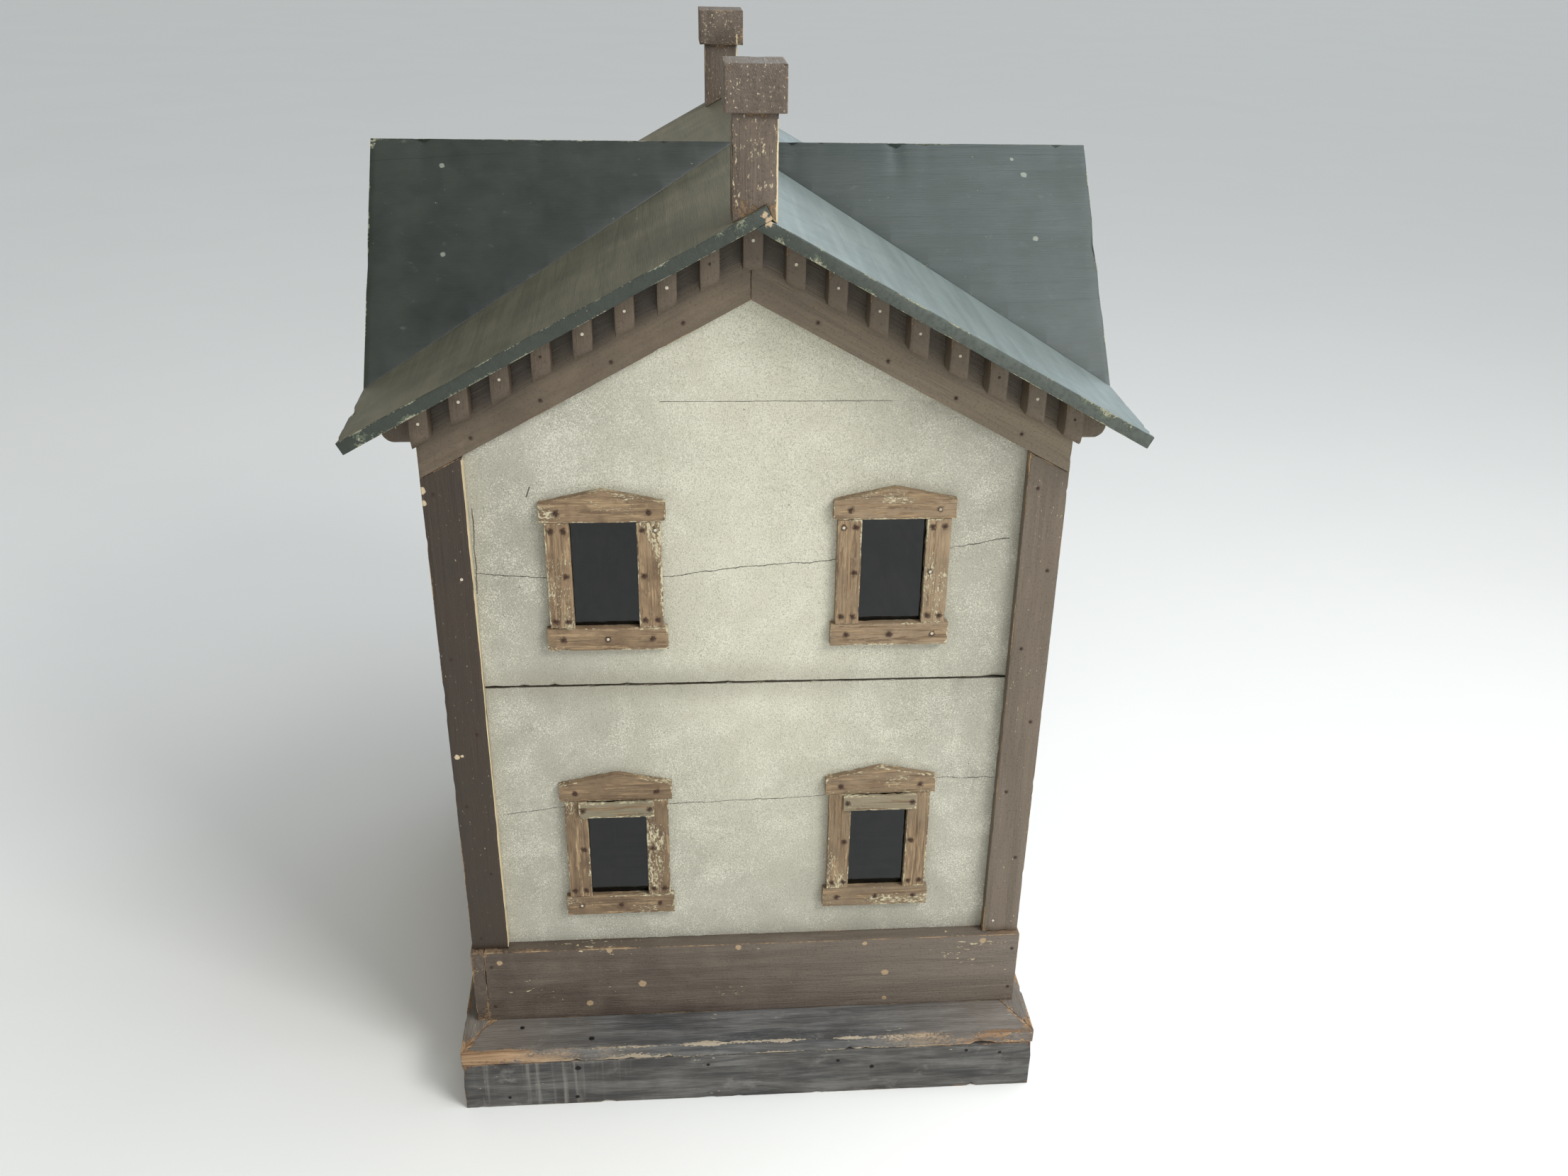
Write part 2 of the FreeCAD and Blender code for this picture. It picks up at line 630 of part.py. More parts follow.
def hinge_leaf(x, centre, outward, knuckles):
    """A flat leaf with its knuckles; outward is +1 for a leaf towards +X."""
    third = HINGE_LENGTH / 3
    low = centre - HINGE_LENGTH / 2
    gap = KNUCKLE_GAP / 2
    near = x + outward * (BARREL_RADIUS + LEAF_CLEARANCE)
    ends = sorted((near, x + outward * LEAF_WIDTH))
    leaf = block(ends[0], ends[1], HALF_DEPTH, HALF_DEPTH + LEAF_THICK, low, low + HINGE_LENGTH)
    for number in knuckles:
        start = low + number * third + gap
        stop = low + (number + 1) * third - gap
        ends = sorted((x, near + outward))
        web = block(ends[0], ends[1], HALF_DEPTH, HALF_DEPTH + LEAF_THICK, start, stop)
        bore = Part.makeCylinder(PIN_RADIUS + PIN_CLEARANCE, stop - start, Vector(x, HINGE_Y, start))
        leaf = leaf.fuse(web).fuse(knuckle(x, start, stop)).cut(bore)
    return leaf.removeSplitter().Solids[0]


def make_doors():
    frame_leaves = []
    pins = []
    inner_y = WALL_Y + DOOR_BACK_GAP
    for side, sign in (("left", -1), ("right", 1)):
        ends = sorted((sign * DOOR_EDGE, sign * DOOR_GAP / 2))
        panel = block(ends[0], ends[1], inner_y, HALF_DEPTH, DOOR_BOTTOM, DOOR_TOP)
        write("rear_door_" + side, [panel])
        leaves = []
        for centre in hinge_centres():
            leaves.append(hinge_leaf(sign * HINGE_X, centre, -sign, (1,)))
            frame_leaves.append(hinge_leaf(sign * HINGE_X, centre, sign, (0, 2)))
            base = Vector(sign * HINGE_X, HINGE_Y, centre - HINGE_LENGTH / 2)
            pins.append(Part.makeCylinder(PIN_RADIUS, HINGE_LENGTH, base))
        write("door_hinge_leaves_" + side, leaves)
        write("door_knob_" + side, [make_knob(sign * KNOB_FROM_EDGE)])
    write("frame_hinge_leaves", frame_leaves)
    write("hinge_pins", pins)


def make_knob(x):
    """A turned knob: a narrow neck that swells to a rounded head."""
    start = HALF_DEPTH
    rim = start + KNOB_STANDOFF - KNOB_CROWN
    dome = (KNOB_RADIUS**2 + KNOB_CROWN**2) / (2 * KNOB_CROWN)
    centre = start + KNOB_STANDOFF - dome
    half_turn = math.asin(KNOB_RADIUS / dome) / 2
    outline = [
        Vector(0, start, 0),
        Vector(KNOB_FOOT, start, 0),
        Vector(KNOB_NECK, start + KNOB_WAIST, 0),
        Vector(KNOB_RADIUS, rim, 0),
    ]
    edges = [Part.LineSegment(outline[i], outline[i + 1]).toShape() for i in range(3)]
    through = Vector(dome * math.sin(half_turn), centre + dome * math.cos(half_turn), 0)
    crown = Vector(0, start + KNOB_STANDOFF, 0)
    edges.append(Part.Arc(outline[3], through, crown).toShape())
    edges.append(Part.LineSegment(crown, outline[0]).toShape())
    knob = Part.Face(Part.Wire(edges)).revolve(Vector(0, 0, 0), Vector(0, 1, 0), 360)
    knob.translate(Vector(x, 0, KNOB_HEIGHT))
    return knob.Solids[0]


def make_turn_button():
    """A wooden button that turns on a screw and holds both doors shut."""
    x, z = BUTTON_FROM_EDGE, BUTTON_HEIGHT
    low = HALF_DEPTH + BUTTON_GAP
    half = BUTTON_WIDTH / 2
    reach = BUTTON_LENGTH / 2 - half
    body = block(x - half, x + half, low, low + BUTTON_THICK, z - reach, z + reach)
    for end in (-reach, reach):
        tip = Part.makeCylinder(half, BUTTON_THICK, Vector(x, low, z + end), Vector(0, 1, 0))
        body = body.fuse(tip)
    hole = Part.makeCylinder(SCREW_RADIUS + PIN_CLEARANCE, BUTTON_THICK, Vector(x, low, z), Vector(0, 1, 0))
    write("turn_button", [body.cut(hole).removeSplitter().Solids[0]])
    shank = BUTTON_THICK + 2 * BUTTON_GAP
    screw = Part.makeCylinder(SCREW_RADIUS, shank, Vector(x, HALF_DEPTH, z), Vector(0, 1, 0))
    head = Part.makeCylinder(SCREW_HEAD, SCREW_HEAD_THICK, Vector(x, HALF_DEPTH + shank, z), Vector(0, 1, 0))
    write("turn_button_screw", [screw.fuse(head).removeSplitter()])


# --- Nails -----------------------------------------------------------------
def window_nails(centre, bottom, width, height, strip):
    """Nail places on one window frame, as (u, z); a strip hides the top ones."""
    half = width / 2
    jamb = half + JAMB_WIDTH / 2
    quarter = JAMB_WIDTH / 4
    top = bottom + height
    places = []
    for sign in (-1, 1):
        for shift in (-quarter, quarter):
            places.append((sign * jamb + shift, bottom + NAIL_INSET))
            if not strip:
                places.append((sign * jamb + shift, top - NAIL_INSET))
        places.append((sign * (jamb - quarter), (top + bottom) / 2))
        places.append((sign * jamb, bottom - SILL_HEIGHT / 2))
        places.append((sign * jamb, top + HEAD_SHOULDER / 2))
    places.append((0, bottom - SILL_HEIGHT / 2))
    return [(centre + u, z) for u, z in places]


def make_nails():
    """Nail heads that stand proud on the front trim and window frames."""
    heads = []
    for row, side, centre, bottom, width, height in window_openings():
        strip = row == "lower"
        for u, z in window_nails(centre, bottom, width, height, strip):
            heads.append((u, z, FRAME_THICK))
        if strip:
            for sign in (-1, 1):
                u = centre + sign * (width + STRIP_LAP) / 2
                heads.append((u, bottom + height - STRIP_HEIGHT / 2, FRAME_THICK + STRIP_THICK))
    corner = HALF_WIDTH - CORNER_WIDTH / 2
    height = frieze_edge(HALF_WIDTH) - GROUND_Z - 2 * CORNER_NAIL_INSET
    lap = SKIRT_SIDE_THICK / 2
    for sign in (-1, 1):
        for number in range(CORNER_NAILS):
            shift = CORNER_NAIL_SHIFT if number % 2 else -CORNER_NAIL_SHIFT
            z = GROUND_Z + CORNER_NAIL_INSET + height * number / (CORNER_NAILS - 1)
            heads.append((sign * corner + shift, z, TRIM))
        for u in FRIEZE_NAILS:
            heads.append((sign * u, frieze_edge(u) + FRIEZE_NAIL_RISE, TRIM))
        for rise in SKIRT_NAILS:
            heads.append((sign * WALL_X + lap, LEDGE_TOP + rise, SKIRT_FRONT_THICK))
    for u in bracket_places(HALF_WIDTH):
        heads.append((u, under_front(u) - BRACKET_NAIL_DROP, TRIM + BRACKET_DEPTH))
    nails = []
    for u, z, depth in heads:
        nail = Part.makeCylinder(NAIL_RADIUS, NAIL_PROUD, Vector(u, -depth, z), Vector(0, -1, 0))
        nails.append(on_face(nail, "front"))
    write("trim_nails", nails)


def main():
    make_base()
    make_ledge()
    make_skirting()
    make_front_and_rear_roof()
    side_roof = make_side_roof()
    make_walls(side_roof)
    make_windows()
    make_corner_boards()
    make_friezes(side_roof)
    make_brackets(side_roof)
    make_chimneys()
    make_floors()
    make_partitions()
    make_head_rail()
    make_doors()
    make_turn_button()
    make_nails()


main()
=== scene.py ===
# %% [markdown]
# # A painted wooden dollhouse
# The real house is a box of thin pine boards, nailed together and painted by
# hand about a hundred years ago. Its charm is in the wear: every edge is
# rubbed, chipped or dented. This lesson starts from an exact CAD model and
# gives each board that age, without moving anything from its place.

import math

import bmesh
import bpy
import numpy as np
from mathutils import Matrix, Vector, noise


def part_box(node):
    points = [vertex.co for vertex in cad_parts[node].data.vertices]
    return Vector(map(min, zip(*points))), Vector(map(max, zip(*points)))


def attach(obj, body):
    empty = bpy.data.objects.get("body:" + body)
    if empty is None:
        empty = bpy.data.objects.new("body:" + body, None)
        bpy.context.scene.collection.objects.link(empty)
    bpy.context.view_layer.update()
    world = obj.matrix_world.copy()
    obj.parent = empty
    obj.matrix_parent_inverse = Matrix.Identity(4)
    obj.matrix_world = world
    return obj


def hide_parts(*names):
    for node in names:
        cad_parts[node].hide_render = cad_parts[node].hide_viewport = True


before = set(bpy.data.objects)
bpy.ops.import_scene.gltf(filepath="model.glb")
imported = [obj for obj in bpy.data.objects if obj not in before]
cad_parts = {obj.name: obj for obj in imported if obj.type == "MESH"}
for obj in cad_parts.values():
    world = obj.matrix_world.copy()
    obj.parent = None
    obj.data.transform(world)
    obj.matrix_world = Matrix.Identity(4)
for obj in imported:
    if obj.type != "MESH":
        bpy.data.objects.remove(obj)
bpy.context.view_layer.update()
print("CAD nodes:", len(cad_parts))

# %% [markdown]
# ## The camera
# A camera is a position, a direction and a lens. Someone tall stood close in
# front of the house, a little left of its middle, and looked down at it, so the
# roof shows and the walls narrow towards the floor. The lens shift keeps the
# house low in the frame without tilting the camera further.

# %% Place the camera
CAMERA_PLACE = Vector((-0.0810, -1.6819, 1.2186))
YAW, PITCH, ROLL = (math.radians(v) for v in (5.889, -31.172, 1.502))
forward = Vector(
    (math.sin(YAW) * math.cos(PITCH), math.cos(YAW) * math.cos(PITCH), math.sin(PITCH))
)
level_right = Vector((math.cos(YAW), -math.sin(YAW), 0))
level_up = level_right.cross(forward)
right = level_right * math.cos(ROLL) + level_up * math.sin(ROLL)
up = level_up * math.cos(ROLL) - level_right * math.sin(ROLL)
lens = bpy.data.cameras.new("front_view")
lens.lens, lens.sensor_width = 35.33, 36.0
lens.shift_x, lens.shift_y = -0.0151, 0.1248
lens.clip_start, lens.clip_end = 0.05, 200.0
camera = bpy.data.objects.new("front_view", lens)
turn = Matrix((right, up, -forward)).transposed().to_4x4()
camera.matrix_world = Matrix.Translation(CAMERA_PLACE) @ turn
bpy.context.scene.collection.objects.link(camera)
bpy.context.scene.camera = camera
print("camera height in metres:", CAMERA_PLACE.z)

# %% [markdown]
# ## A bench for shader nodes
# Building nodes in a script gets long, so a small class keeps it readable. It
# adds a node, fills or links its sockets, and wraps the few maths steps that
# every finish below uses.


# %% The node bench
def rgb(red, green, blue):
    """A colour given as it looks on screen, turned into linear light."""
    return tuple(((v / 255 + 0.055) / 1.055) ** 2.4 for v in (red, green, blue)) + (1.0,)


class Bench:
    """Adds linked nodes to one shader tree."""

    def __init__(self, tree):
        self.tree = tree
        self.count = 0

    def put(self, socket, value):
        """Link the socket or set its value; three numbers are a screen colour."""
        if isinstance(value, bpy.types.NodeSocket):
            self.tree.links.new(value, socket)
        elif value is not None:
            screen = socket.type == "RGBA" and len(value) == 3
            socket.default_value = rgb(*value) if screen else value

    def node(self, kind, sockets=(), **settings):
        made = self.tree.nodes.new("ShaderNode" + kind)
        made.location = (190 * (self.count % 12), -260 * (self.count // 12))
        self.count += 1
        for name, value in settings.items():
            setattr(made, name, value)
        for key, value in dict(sockets).items():
            self.put(made.inputs[key], value)
        return made

    def maths(self, operation, first, second=None, clamp=False):
        made = self.node("Math", {0: first}, operation=operation, use_clamp=clamp)
        if second is not None:
            self.put(made.inputs[1], second)
        return made.outputs[0]

    def times(self, first, second):
        return self.maths("MULTIPLY", first, second)

    def plus(self, first, second, clamp=False):
        return self.maths("ADD", first, second, clamp)

    def minus(self, first, second):
        return self.maths("SUBTRACT", first, second)

    def rest(self, value, clamp=False):
        """What the value leaves of 1."""
        return self.maths("SUBTRACT", 1.0, value, clamp)

    def size(self, value):
        return self.maths("ABSOLUTE", value)

    def axes(self, vector):
        return self.node("SeparateXYZ", {0: vector}).outputs

    def step(self, value, low, high):
        """0 below low, 1 above high and a smooth rise between."""
        sockets = {"Value": value, "From Min": low, "From Max": high}
        made = self.node("MapRange", sockets, interpolation_type="SMOOTHSTEP")
        return made.outputs["Result"]

    def spread(self, value, low, high):
        """A 0 to 1 value spread from low to high."""
        sockets = {"Value": value, "To Min": low, "To Max": high}
        return self.node("MapRange", sockets).outputs["Result"]

    def mix(self, share, under, over):
        """One colour laid over another."""
        made = self.node("Mix", data_type="RGBA")
        for index, value in ((0, share), (6, under), (7, over)):
            self.put(made.inputs[index], value)
        return made.outputs[2]

    def noise(self, vector, scale, detail=3.0, rough=0.55, twist=0.0):
        sockets = {"Vector": vector, "Scale": scale, "Detail": detail}
        sockets.update({"Roughness": rough, "Distortion": twist})
        return self.node("TexNoise", sockets).outputs["Fac"]

    def streaks(self, vector, along, across, *settings):
        """Noise with one rate along a board and another across it."""
        scale = self.node("CombineXYZ", {0: along, 1: across, 2: across}).outputs[0]
        made = self.node("VectorMath", {0: vector, 1: scale}, operation="MULTIPLY")
        return self.noise(made.outputs[0], 1.0, *settings)

    def bump(self, height, distance):
        return self.node("Bump", {"Height": height, "Distance": distance}).outputs["Normal"]


def shader_group(title, inputs, outputs):
    """A new group tree with named sockets, its bench and its two ends."""
    tree = bpy.data.node_groups.new(title, "ShaderNodeTree")
    for name, value in inputs.items():
        kind = "NodeSocketVector" if value is None else "NodeSocketFloat"
        socket = tree.interface.new_socket(name=name, in_out="INPUT", socket_type=kind)
        if value is not None:
            socket.default_value = value
    for name in outputs:
        tree.interface.new_socket(name=name, in_out="OUTPUT", socket_type="NodeSocketFloat")
    into, out = (tree.nodes.new("NodeGroup" + end) for end in ("Input", "Output"))
    return tree, Bench(tree), into.outputs, out.inputs


print("node bench ready")

# %% [markdown]
# ## Studio light
# Old satin paint shows its age through soft reflections, so the lights are
# large area lamps: a key high on the right, a cool one over the right half of
# the roof and a wide one far in front. The sky is a plain colour that turns
# from warm and dim on the left to cool and bright on the right. A band of it
# behind the house glows, as a bright wall would, because the front slopes of
# the roof face away from us and mirror exactly that band.

# %% Lamps and sky
SCENE_MIDDLE = Vector((0, 0, 0.5))


def soft_lamp(name, place, size, power, colour, aim=SCENE_MIDDLE):
    """A rectangular area lamp that faces a point."""
    data = bpy.data.lights.new(name, "AREA")
    data.shape, data.size, data.size_y = "RECTANGLE", size[0], size[1]
    data.energy, data.color = power, colour
    lamp = bpy.data.objects.new(name, data)
    lamp.location = place
    lamp.rotation_euler = (Vector(aim) - lamp.location).to_track_quat("-Z", "Y").to_euler()
    bpy.context.scene.collection.objects.link(lamp)


soft_lamp("key_right", (1.8, -2.1, 2.6), (1.2, 0.9), 60, (1.0, 0.985, 0.95))
soft_lamp("over_right", (1.15, -0.5, 2.7), (1.6, 1.5), 30, (0.93, 0.97, 1.0), (0.3, -0.1, 0.8))
soft_lamp("front_fill", (0.1, -6.5, 2.0), (3.6, 2.4), 62, (1.0, 0.98, 0.93))
world = bpy.data.worlds.new("studio_air")
world.use_nodes = True
air = Bench(world.node_tree)
toward = air.axes(air.node("TexCoord").outputs["Generated"])
sky = air.mix(air.step(toward["X"], -0.45, 0.45), (0.40, 0.385, 0.34, 1), (0.86, 0.93, 1.0, 1))
behind = air.step(toward["Y"], 0.70, 0.95)
level = air.rest(air.step(air.size(toward["Z"]), 0.08, 0.50))
glow = air.mix(air.step(toward["X"], -0.12, 0.30), (0.80, 0.75, 0.55, 1), (2.1, 2.4, 2.75, 1))
background = world.node_tree.nodes["Background"]
air.put(background.inputs["Color"], air.mix(air.times(behind, level), sky, glow))
background.inputs["Strength"].default_value = 0.85
bpy.context.scene.world = world
bpy.context.scene.view_settings.view_transform = "Standard"

# %% [markdown]
# ## Effects that several paints share
# A shader group is a small machine with named knobs. Wood grain, rubbed edges,
# flaked chips, grime and rust round nails all turn up on more than one paint,
# so each is built once. `Board Place` is a vector each board carries: metres
# along it, across it and through it. Grain therefore follows every board,
# even the sloping ones. `Edge Distance` and `Nail Distance` are carried too.

# %% Wood grain group
knobs = {"Board Place": None, "Ring Width": 0.006, "Fibre Width": 0.0008}
grain_group, bench, into, out = shader_group("Wood Grain", knobs, ("Rings", "Fibres"))
rate = bench.maths("DIVIDE", 1.0, into["Ring Width"])
rings = bench.streaks(into["Board Place"], bench.times(rate, 0.07), rate, 3.0, 0.5, 0.8)
rate = bench.maths("DIVIDE", 1.0, into["Fibre Width"])
fibres = bench.streaks(into["Board Place"], bench.times(rate, 0.04), rate, 2.0, 0.6)
bench.put(out["Rings"], bench.step(rings, 0.30, 0.70))
bench.put(out["Fibres"], bench.step(fibres, 0.25, 0.75))
print("group:", grain_group.name, len(grain_group.nodes), "nodes")

# %% Edge wear group
knobs = {"Board Place": None, "Edge Distance": 0.0, "Reach": 0.004, "Amount": 0.5}
wear_group, bench, into, out = shader_group("Edge Wear", knobs, ("Worn",))
nearness = bench.rest(bench.maths("DIVIDE", into["Edge Distance"], into["Reach"]), clamp=True)
patches = bench.streaks(into["Board Place"], 16.0, 40.0, 2.0)
nibbles = bench.streaks(into["Board Place"], 260.0, 420.0, 3.0, 0.6)
total = bench.plus(nearness, bench.spread(patches, -0.9, 0.9))
total = bench.plus(total, bench.spread(nibbles, -0.55, 0.55))
above = bench.minus(total, bench.minus(1.25, into["Amount"]))
worn = bench.times(bench.step(above, 0.0, 0.12), bench.step(nearness, 0.0, 0.12))
bench.put(out["Worn"], worn)
print("group:", wear_group.name, len(wear_group.nodes), "nodes")

# %% Chips, grime and rust groups
knobs = {"Board Place": None, "Chip Size": 0.003, "Amount": 0.3}
chip_group, bench, into, out = shader_group("Paint Chips", knobs, ("Chips",))
rate = bench.maths("DIVIDE", 1.0, into["Chip Size"])
flakes = bench.streaks(into["Board Place"], bench.times(rate, 0.4), rate, 4.0, 0.65)
regions = bench.streaks(into["Board Place"], 9.0, 22.0, 2.0)
lift = bench.times(bench.step(regions, 0.45, 0.75), into["Amount"])
level = bench.plus(flakes, bench.times(lift, 0.3))
bench.put(out["Chips"], bench.step(level, 0.74, 0.77))

knobs = {"Place": None, "Patch Size": 0.1, "Contrast": 1.0}
grime_group, bench, into, out = shader_group("Grime", knobs, ("Grime",))
rate = bench.maths("DIVIDE", 1.0, into["Patch Size"])
centred = bench.minus(bench.noise(into["Place"], rate, 5.0, 0.6, 0.4), 0.5)
cloudy = bench.times(centred, bench.times(into["Contrast"], 2.4))
bench.put(out["Grime"], bench.plus(cloudy, 0.5, clamp=True))

knobs = {"Place": None, "Nail Distance": 1.0, "Reach": 0.005}
rust_group, bench, into, out = shader_group("Nail Rust", knobs, ("Rust",))
wobble = bench.spread(bench.noise(into["Place"], 420.0, 2.0), -0.6, 0.6)
share = bench.plus(bench.maths("DIVIDE", into["Nail Distance"], into["Reach"]), wobble)
bench.put(out["Rust"], bench.rest(bench.step(share, 0.35, 1.0)))
print("groups:", chip_group.name, grime_group.name, rust_group.name)


# %% [markdown]
# ## Starting a finish
# Every paint below begins the same way: a material with one Principled shader
# and the values its board carries. The shared groups are then dropped in, each
# with its own settings. A finish is built up as a painter works: a first coat,
# then one colour after another laid over it through a mask.


# %% Finish helper
class Finish(Bench):
    """A material, its shader and the places its boards carry."""

    def __init__(self, name, **constants):
        self.material = bpy.data.materials.new(name)
        self.material.use_nodes = True
        super().__init__(self.material.node_tree)
        self.shader = self.tree.nodes["Principled BSDF"]
        for key, value in constants.items():
            self.shader.inputs[key.replace("_", " ")].default_value = value
        self.place = self.node("TexCoord").outputs["Object"]
        self.board = self.carried("board", "Vector")
        self.edge, self.nail, self.tone = (self.carried(k) for k in ("edge", "nail", "tone"))

    def carried(self, name, output="Fac"):
        return self.node("Attribute", attribute_name=name).outputs[output]

    def use(self, group, **sockets):
        made = self.node("Group", node_tree=group)
        for key, value in sockets.items():
            self.put(made.inputs[key.replace("_", " ")], value)
        return made.outputs

    def grain(self, ring, fibre):
        return self.use(grain_group, Board_Place=self.board, Ring_Width=ring, Fibre_Width=fibre)

    def worn(self, reach, amount):
        sockets = {"Board_Place": self.board, "Edge_Distance": self.edge}
        return self.use(wear_group, Reach=reach, Amount=amount, **sockets)[0]

    def chips(self, size, amount):
        return self.use(chip_group, Board_Place=self.board, Chip_Size=size, Amount=amount)[0]

    def grime(self, patch, contrast=1.0):
        return self.use(grime_group, Place=self.place, Patch_Size=patch, Contrast=contrast)[0]

    def rust(self, reach):
        return self.use(rust_group, Place=self.place, Nail_Distance=self.nail, Reach=reach)[0]

    def marks(self, places, ragged=0.5):
        """A mask of small ragged marks; each place is x, y, z and a radius."""
        shiver = self.noise(self.place, 300.0, 3.0, 0.65)
        shiver = self.spread(shiver, 1 - ragged, 1 + ragged)
        total = 0.0
        for *centre, radius in places:
            gap = self.node("VectorMath", {0: self.place, 1: centre}, operation="DISTANCE")
            share = self.maths("DIVIDE", gap.outputs["Value"], radius)
            mark = self.rest(self.step(self.times(share, shiver), 0.75, 1.05))
            total = self.maths("MAXIMUM", total, mark)
        return total

    def start(self, mask, first, second):
        """The first coat: two colours through a mask."""
        self.base = self.mix(mask, first, second)

    def lay(self, mask, colour, share=None):
        """Lay a colour over the coat where the mask is white."""
        if share is not None:
            mask = self.times(mask, share)
        self.base = self.mix(mask, self.base, colour)

    def done(self, rough, normal=None):
        for key, value in (("Base Color", self.base), ("Roughness", rough), ("Normal", normal)):
            self.put(self.shader.inputs[key], value)
        return self.material


print("finish helper ready")

# %% [markdown]
# ## Sanded wall paint
# The walls were painted pale grey-green and dusted with sand while wet, to look
# like stone. Sand gives two things: tiny bumps, and a speckle where the tops of
# the grains have worn pale. Both come from one very fine noise. Larger clouds of
# noise decide where the speckle is strong and where dirt has settled.


# %% Wall finish
def split_line(paint, points, width, wander, axes):
    """A mask for a split through points; axes are its run and its wander."""
    low, high = points[0][0], points[-1][0]
    sides = paint.axes(paint.place)
    span = {"Value": sides[axes[0]], "From Min": low, "From Max": high}
    share = paint.node("MapRange", span, clamp=False).outputs["Result"]
    heights = paint.node("FloatCurve", {"Value": share})
    curve = heights.mapping.curves[0]
    curve.points[0].location = (0.0, (points[0][1] + 0.5) / 2)
    curve.points[-1].location = (1.0, (points[-1][1] + 0.5) / 2)
    for run, aside in points[1:-1]:
        curve.points.new((run - low) / (high - low), (aside + 0.5) / 2)
    for point in curve.points:
        point.handle_type = "VECTOR"
    heights.mapping.update()
    shiver = paint.spread(paint.noise(paint.place, 55.0, 5.0, 0.65), -wander, wander)
    aim = paint.plus(paint.spread(heights.outputs[0], -0.5, 1.5), shiver)
    gap = paint.size(paint.minus(sides[axes[1]], aim))
    opening = paint.spread(paint.noise(paint.place, 32.0, 2.0), 0.15 * width, 1.9 * width)
    line = paint.maths("LESS_THAN", gap, opening)
    inside = paint.times(paint.maths("GREATER_THAN", share, 0.0), line)
    return paint.times(inside, paint.maths("LESS_THAN", share, 1.0))


def wall_paint(name, light_pool_strength, splits=()):
    """Pale sanded paint; the second argument sets how bright a painted pool of light makes its
    middle.
    """
    paint = Finish(name, Specular_IOR_Level=0.25)
    sand = paint.noise(paint.place, 900.0, 2.0, 0.8)
    grit = paint.noise(paint.place, 620.0, 4.0, 0.85)
    clouds, rub, dirt_and_shade = paint.grime(0.14), paint.grime(0.035, 1.2), paint.grime(0.26, 1.6)
    axes = paint.axes(paint.place)
    # A painted pool of light: a lighter band down the middle of the wall.
    light_pool = paint.rest(paint.step(paint.size(paint.minus(axes["X"], 0.02)), 0.01, 0.24))
    light_pool = paint.times(paint.times(light_pool, paint.step(axes["Z"], 0.10, 0.52)), light_pool_strength)
    paint.start(clouds, (172, 170, 156), (194, 191, 177))
    paint.lay(dirt_and_shade, (156, 152, 138), 0.35)
    paint.lay(light_pool, (218, 215, 195))
    gain = paint.plus(paint.spread(rub, -0.08, 0.04), paint.spread(dirt_and_shade, 0.02, -0.03))
    gain = paint.plus(gain, paint.spread(light_pool, 0.0, 0.03))
    paint.lay(paint.step(paint.plus(grit, gain), 0.50, 0.58), (230, 228, 212), 0.76)
    pits = paint.plus(sand, paint.spread(clouds, 0.03, -0.03))
    paint.lay(paint.step(pits, 0.54, 0.64), (124, 123, 110), 0.56)
    specks = paint.noise(paint.place, 150.0, 3.0, 0.7)
    paint.lay(paint.step(specks, 0.70, 0.74), (98, 92, 78), 0.6)
    # Darker within 3 cm of the board edges, beside the proud trim: painted shade, varied by the
    # dirt clouds.
    near_edge = paint.rest(paint.step(paint.edge, 0.0, 0.03))
    paint.lay(paint.times(near_edge, paint.spread(dirt_and_shade, 0.10, 0.55)), (148, 143, 127))
    paint.lay(paint.worn(0.003, 0.30), (132, 118, 94))
    height = paint.plus(paint.times(grit, 0.9), sand)
    for split in splits:
        crack = split_line(paint, *split)
        paint.lay(crack, (60, 52, 43), 0.85)
        height = paint.minus(height, paint.times(crack, 2.0))
    return paint.done(paint.spread(grit, 0.75, 0.95), paint.bump(height, 0.0009))


UPPER_SPLIT = ((-0.264, 0.618), (-0.19, 0.611), (-0.074, 0.612), (0.0, 0.621))
UPPER_SPLIT += ((0.079, 0.625), (0.17, 0.632), (0.256, 0.647))
LOWER_SPLIT = ((-0.260, 0.342), (-0.203, 0.350), (-0.088, 0.350), (0.078, 0.355))
LOWER_SPLIT += ((0.14, 0.366), (0.196, 0.374), (0.264, 0.373))
EDGE_CRACK = ((0.596, -0.2640), (0.623, -0.2628), (0.646, -0.2630), (0.664, -0.2618))
EDGE_CRACK += ((0.684, -0.2612),)
FRONT_SPLITS = (
    (UPPER_SPLIT, 0.00036, 0.0035, "XZ"),
    (LOWER_SPLIT, 0.00032, 0.0035, "XZ"),
    (EDGE_CRACK, 0.00045, 0.0018, "ZX"),
    (((0.694, -0.2105), (0.704, -0.2068)), 0.00070, 0.0010, "ZX"),
    (((-0.266, 0.4935), (0.266, 0.4935)), 0.00080, 0.0009, "XZ"),
    (((-0.083, 0.7847), (0.132, 0.7847)), 0.00028, 0.0008, "XZ"),
)
front_wall_paint = wall_paint("front_wall_paint", 0.80, FRONT_SPLITS)
side_wall_paint = wall_paint("side_wall_paint", 0.0)
print("wall paints:", front_wall_paint.name, side_wall_paint.name)
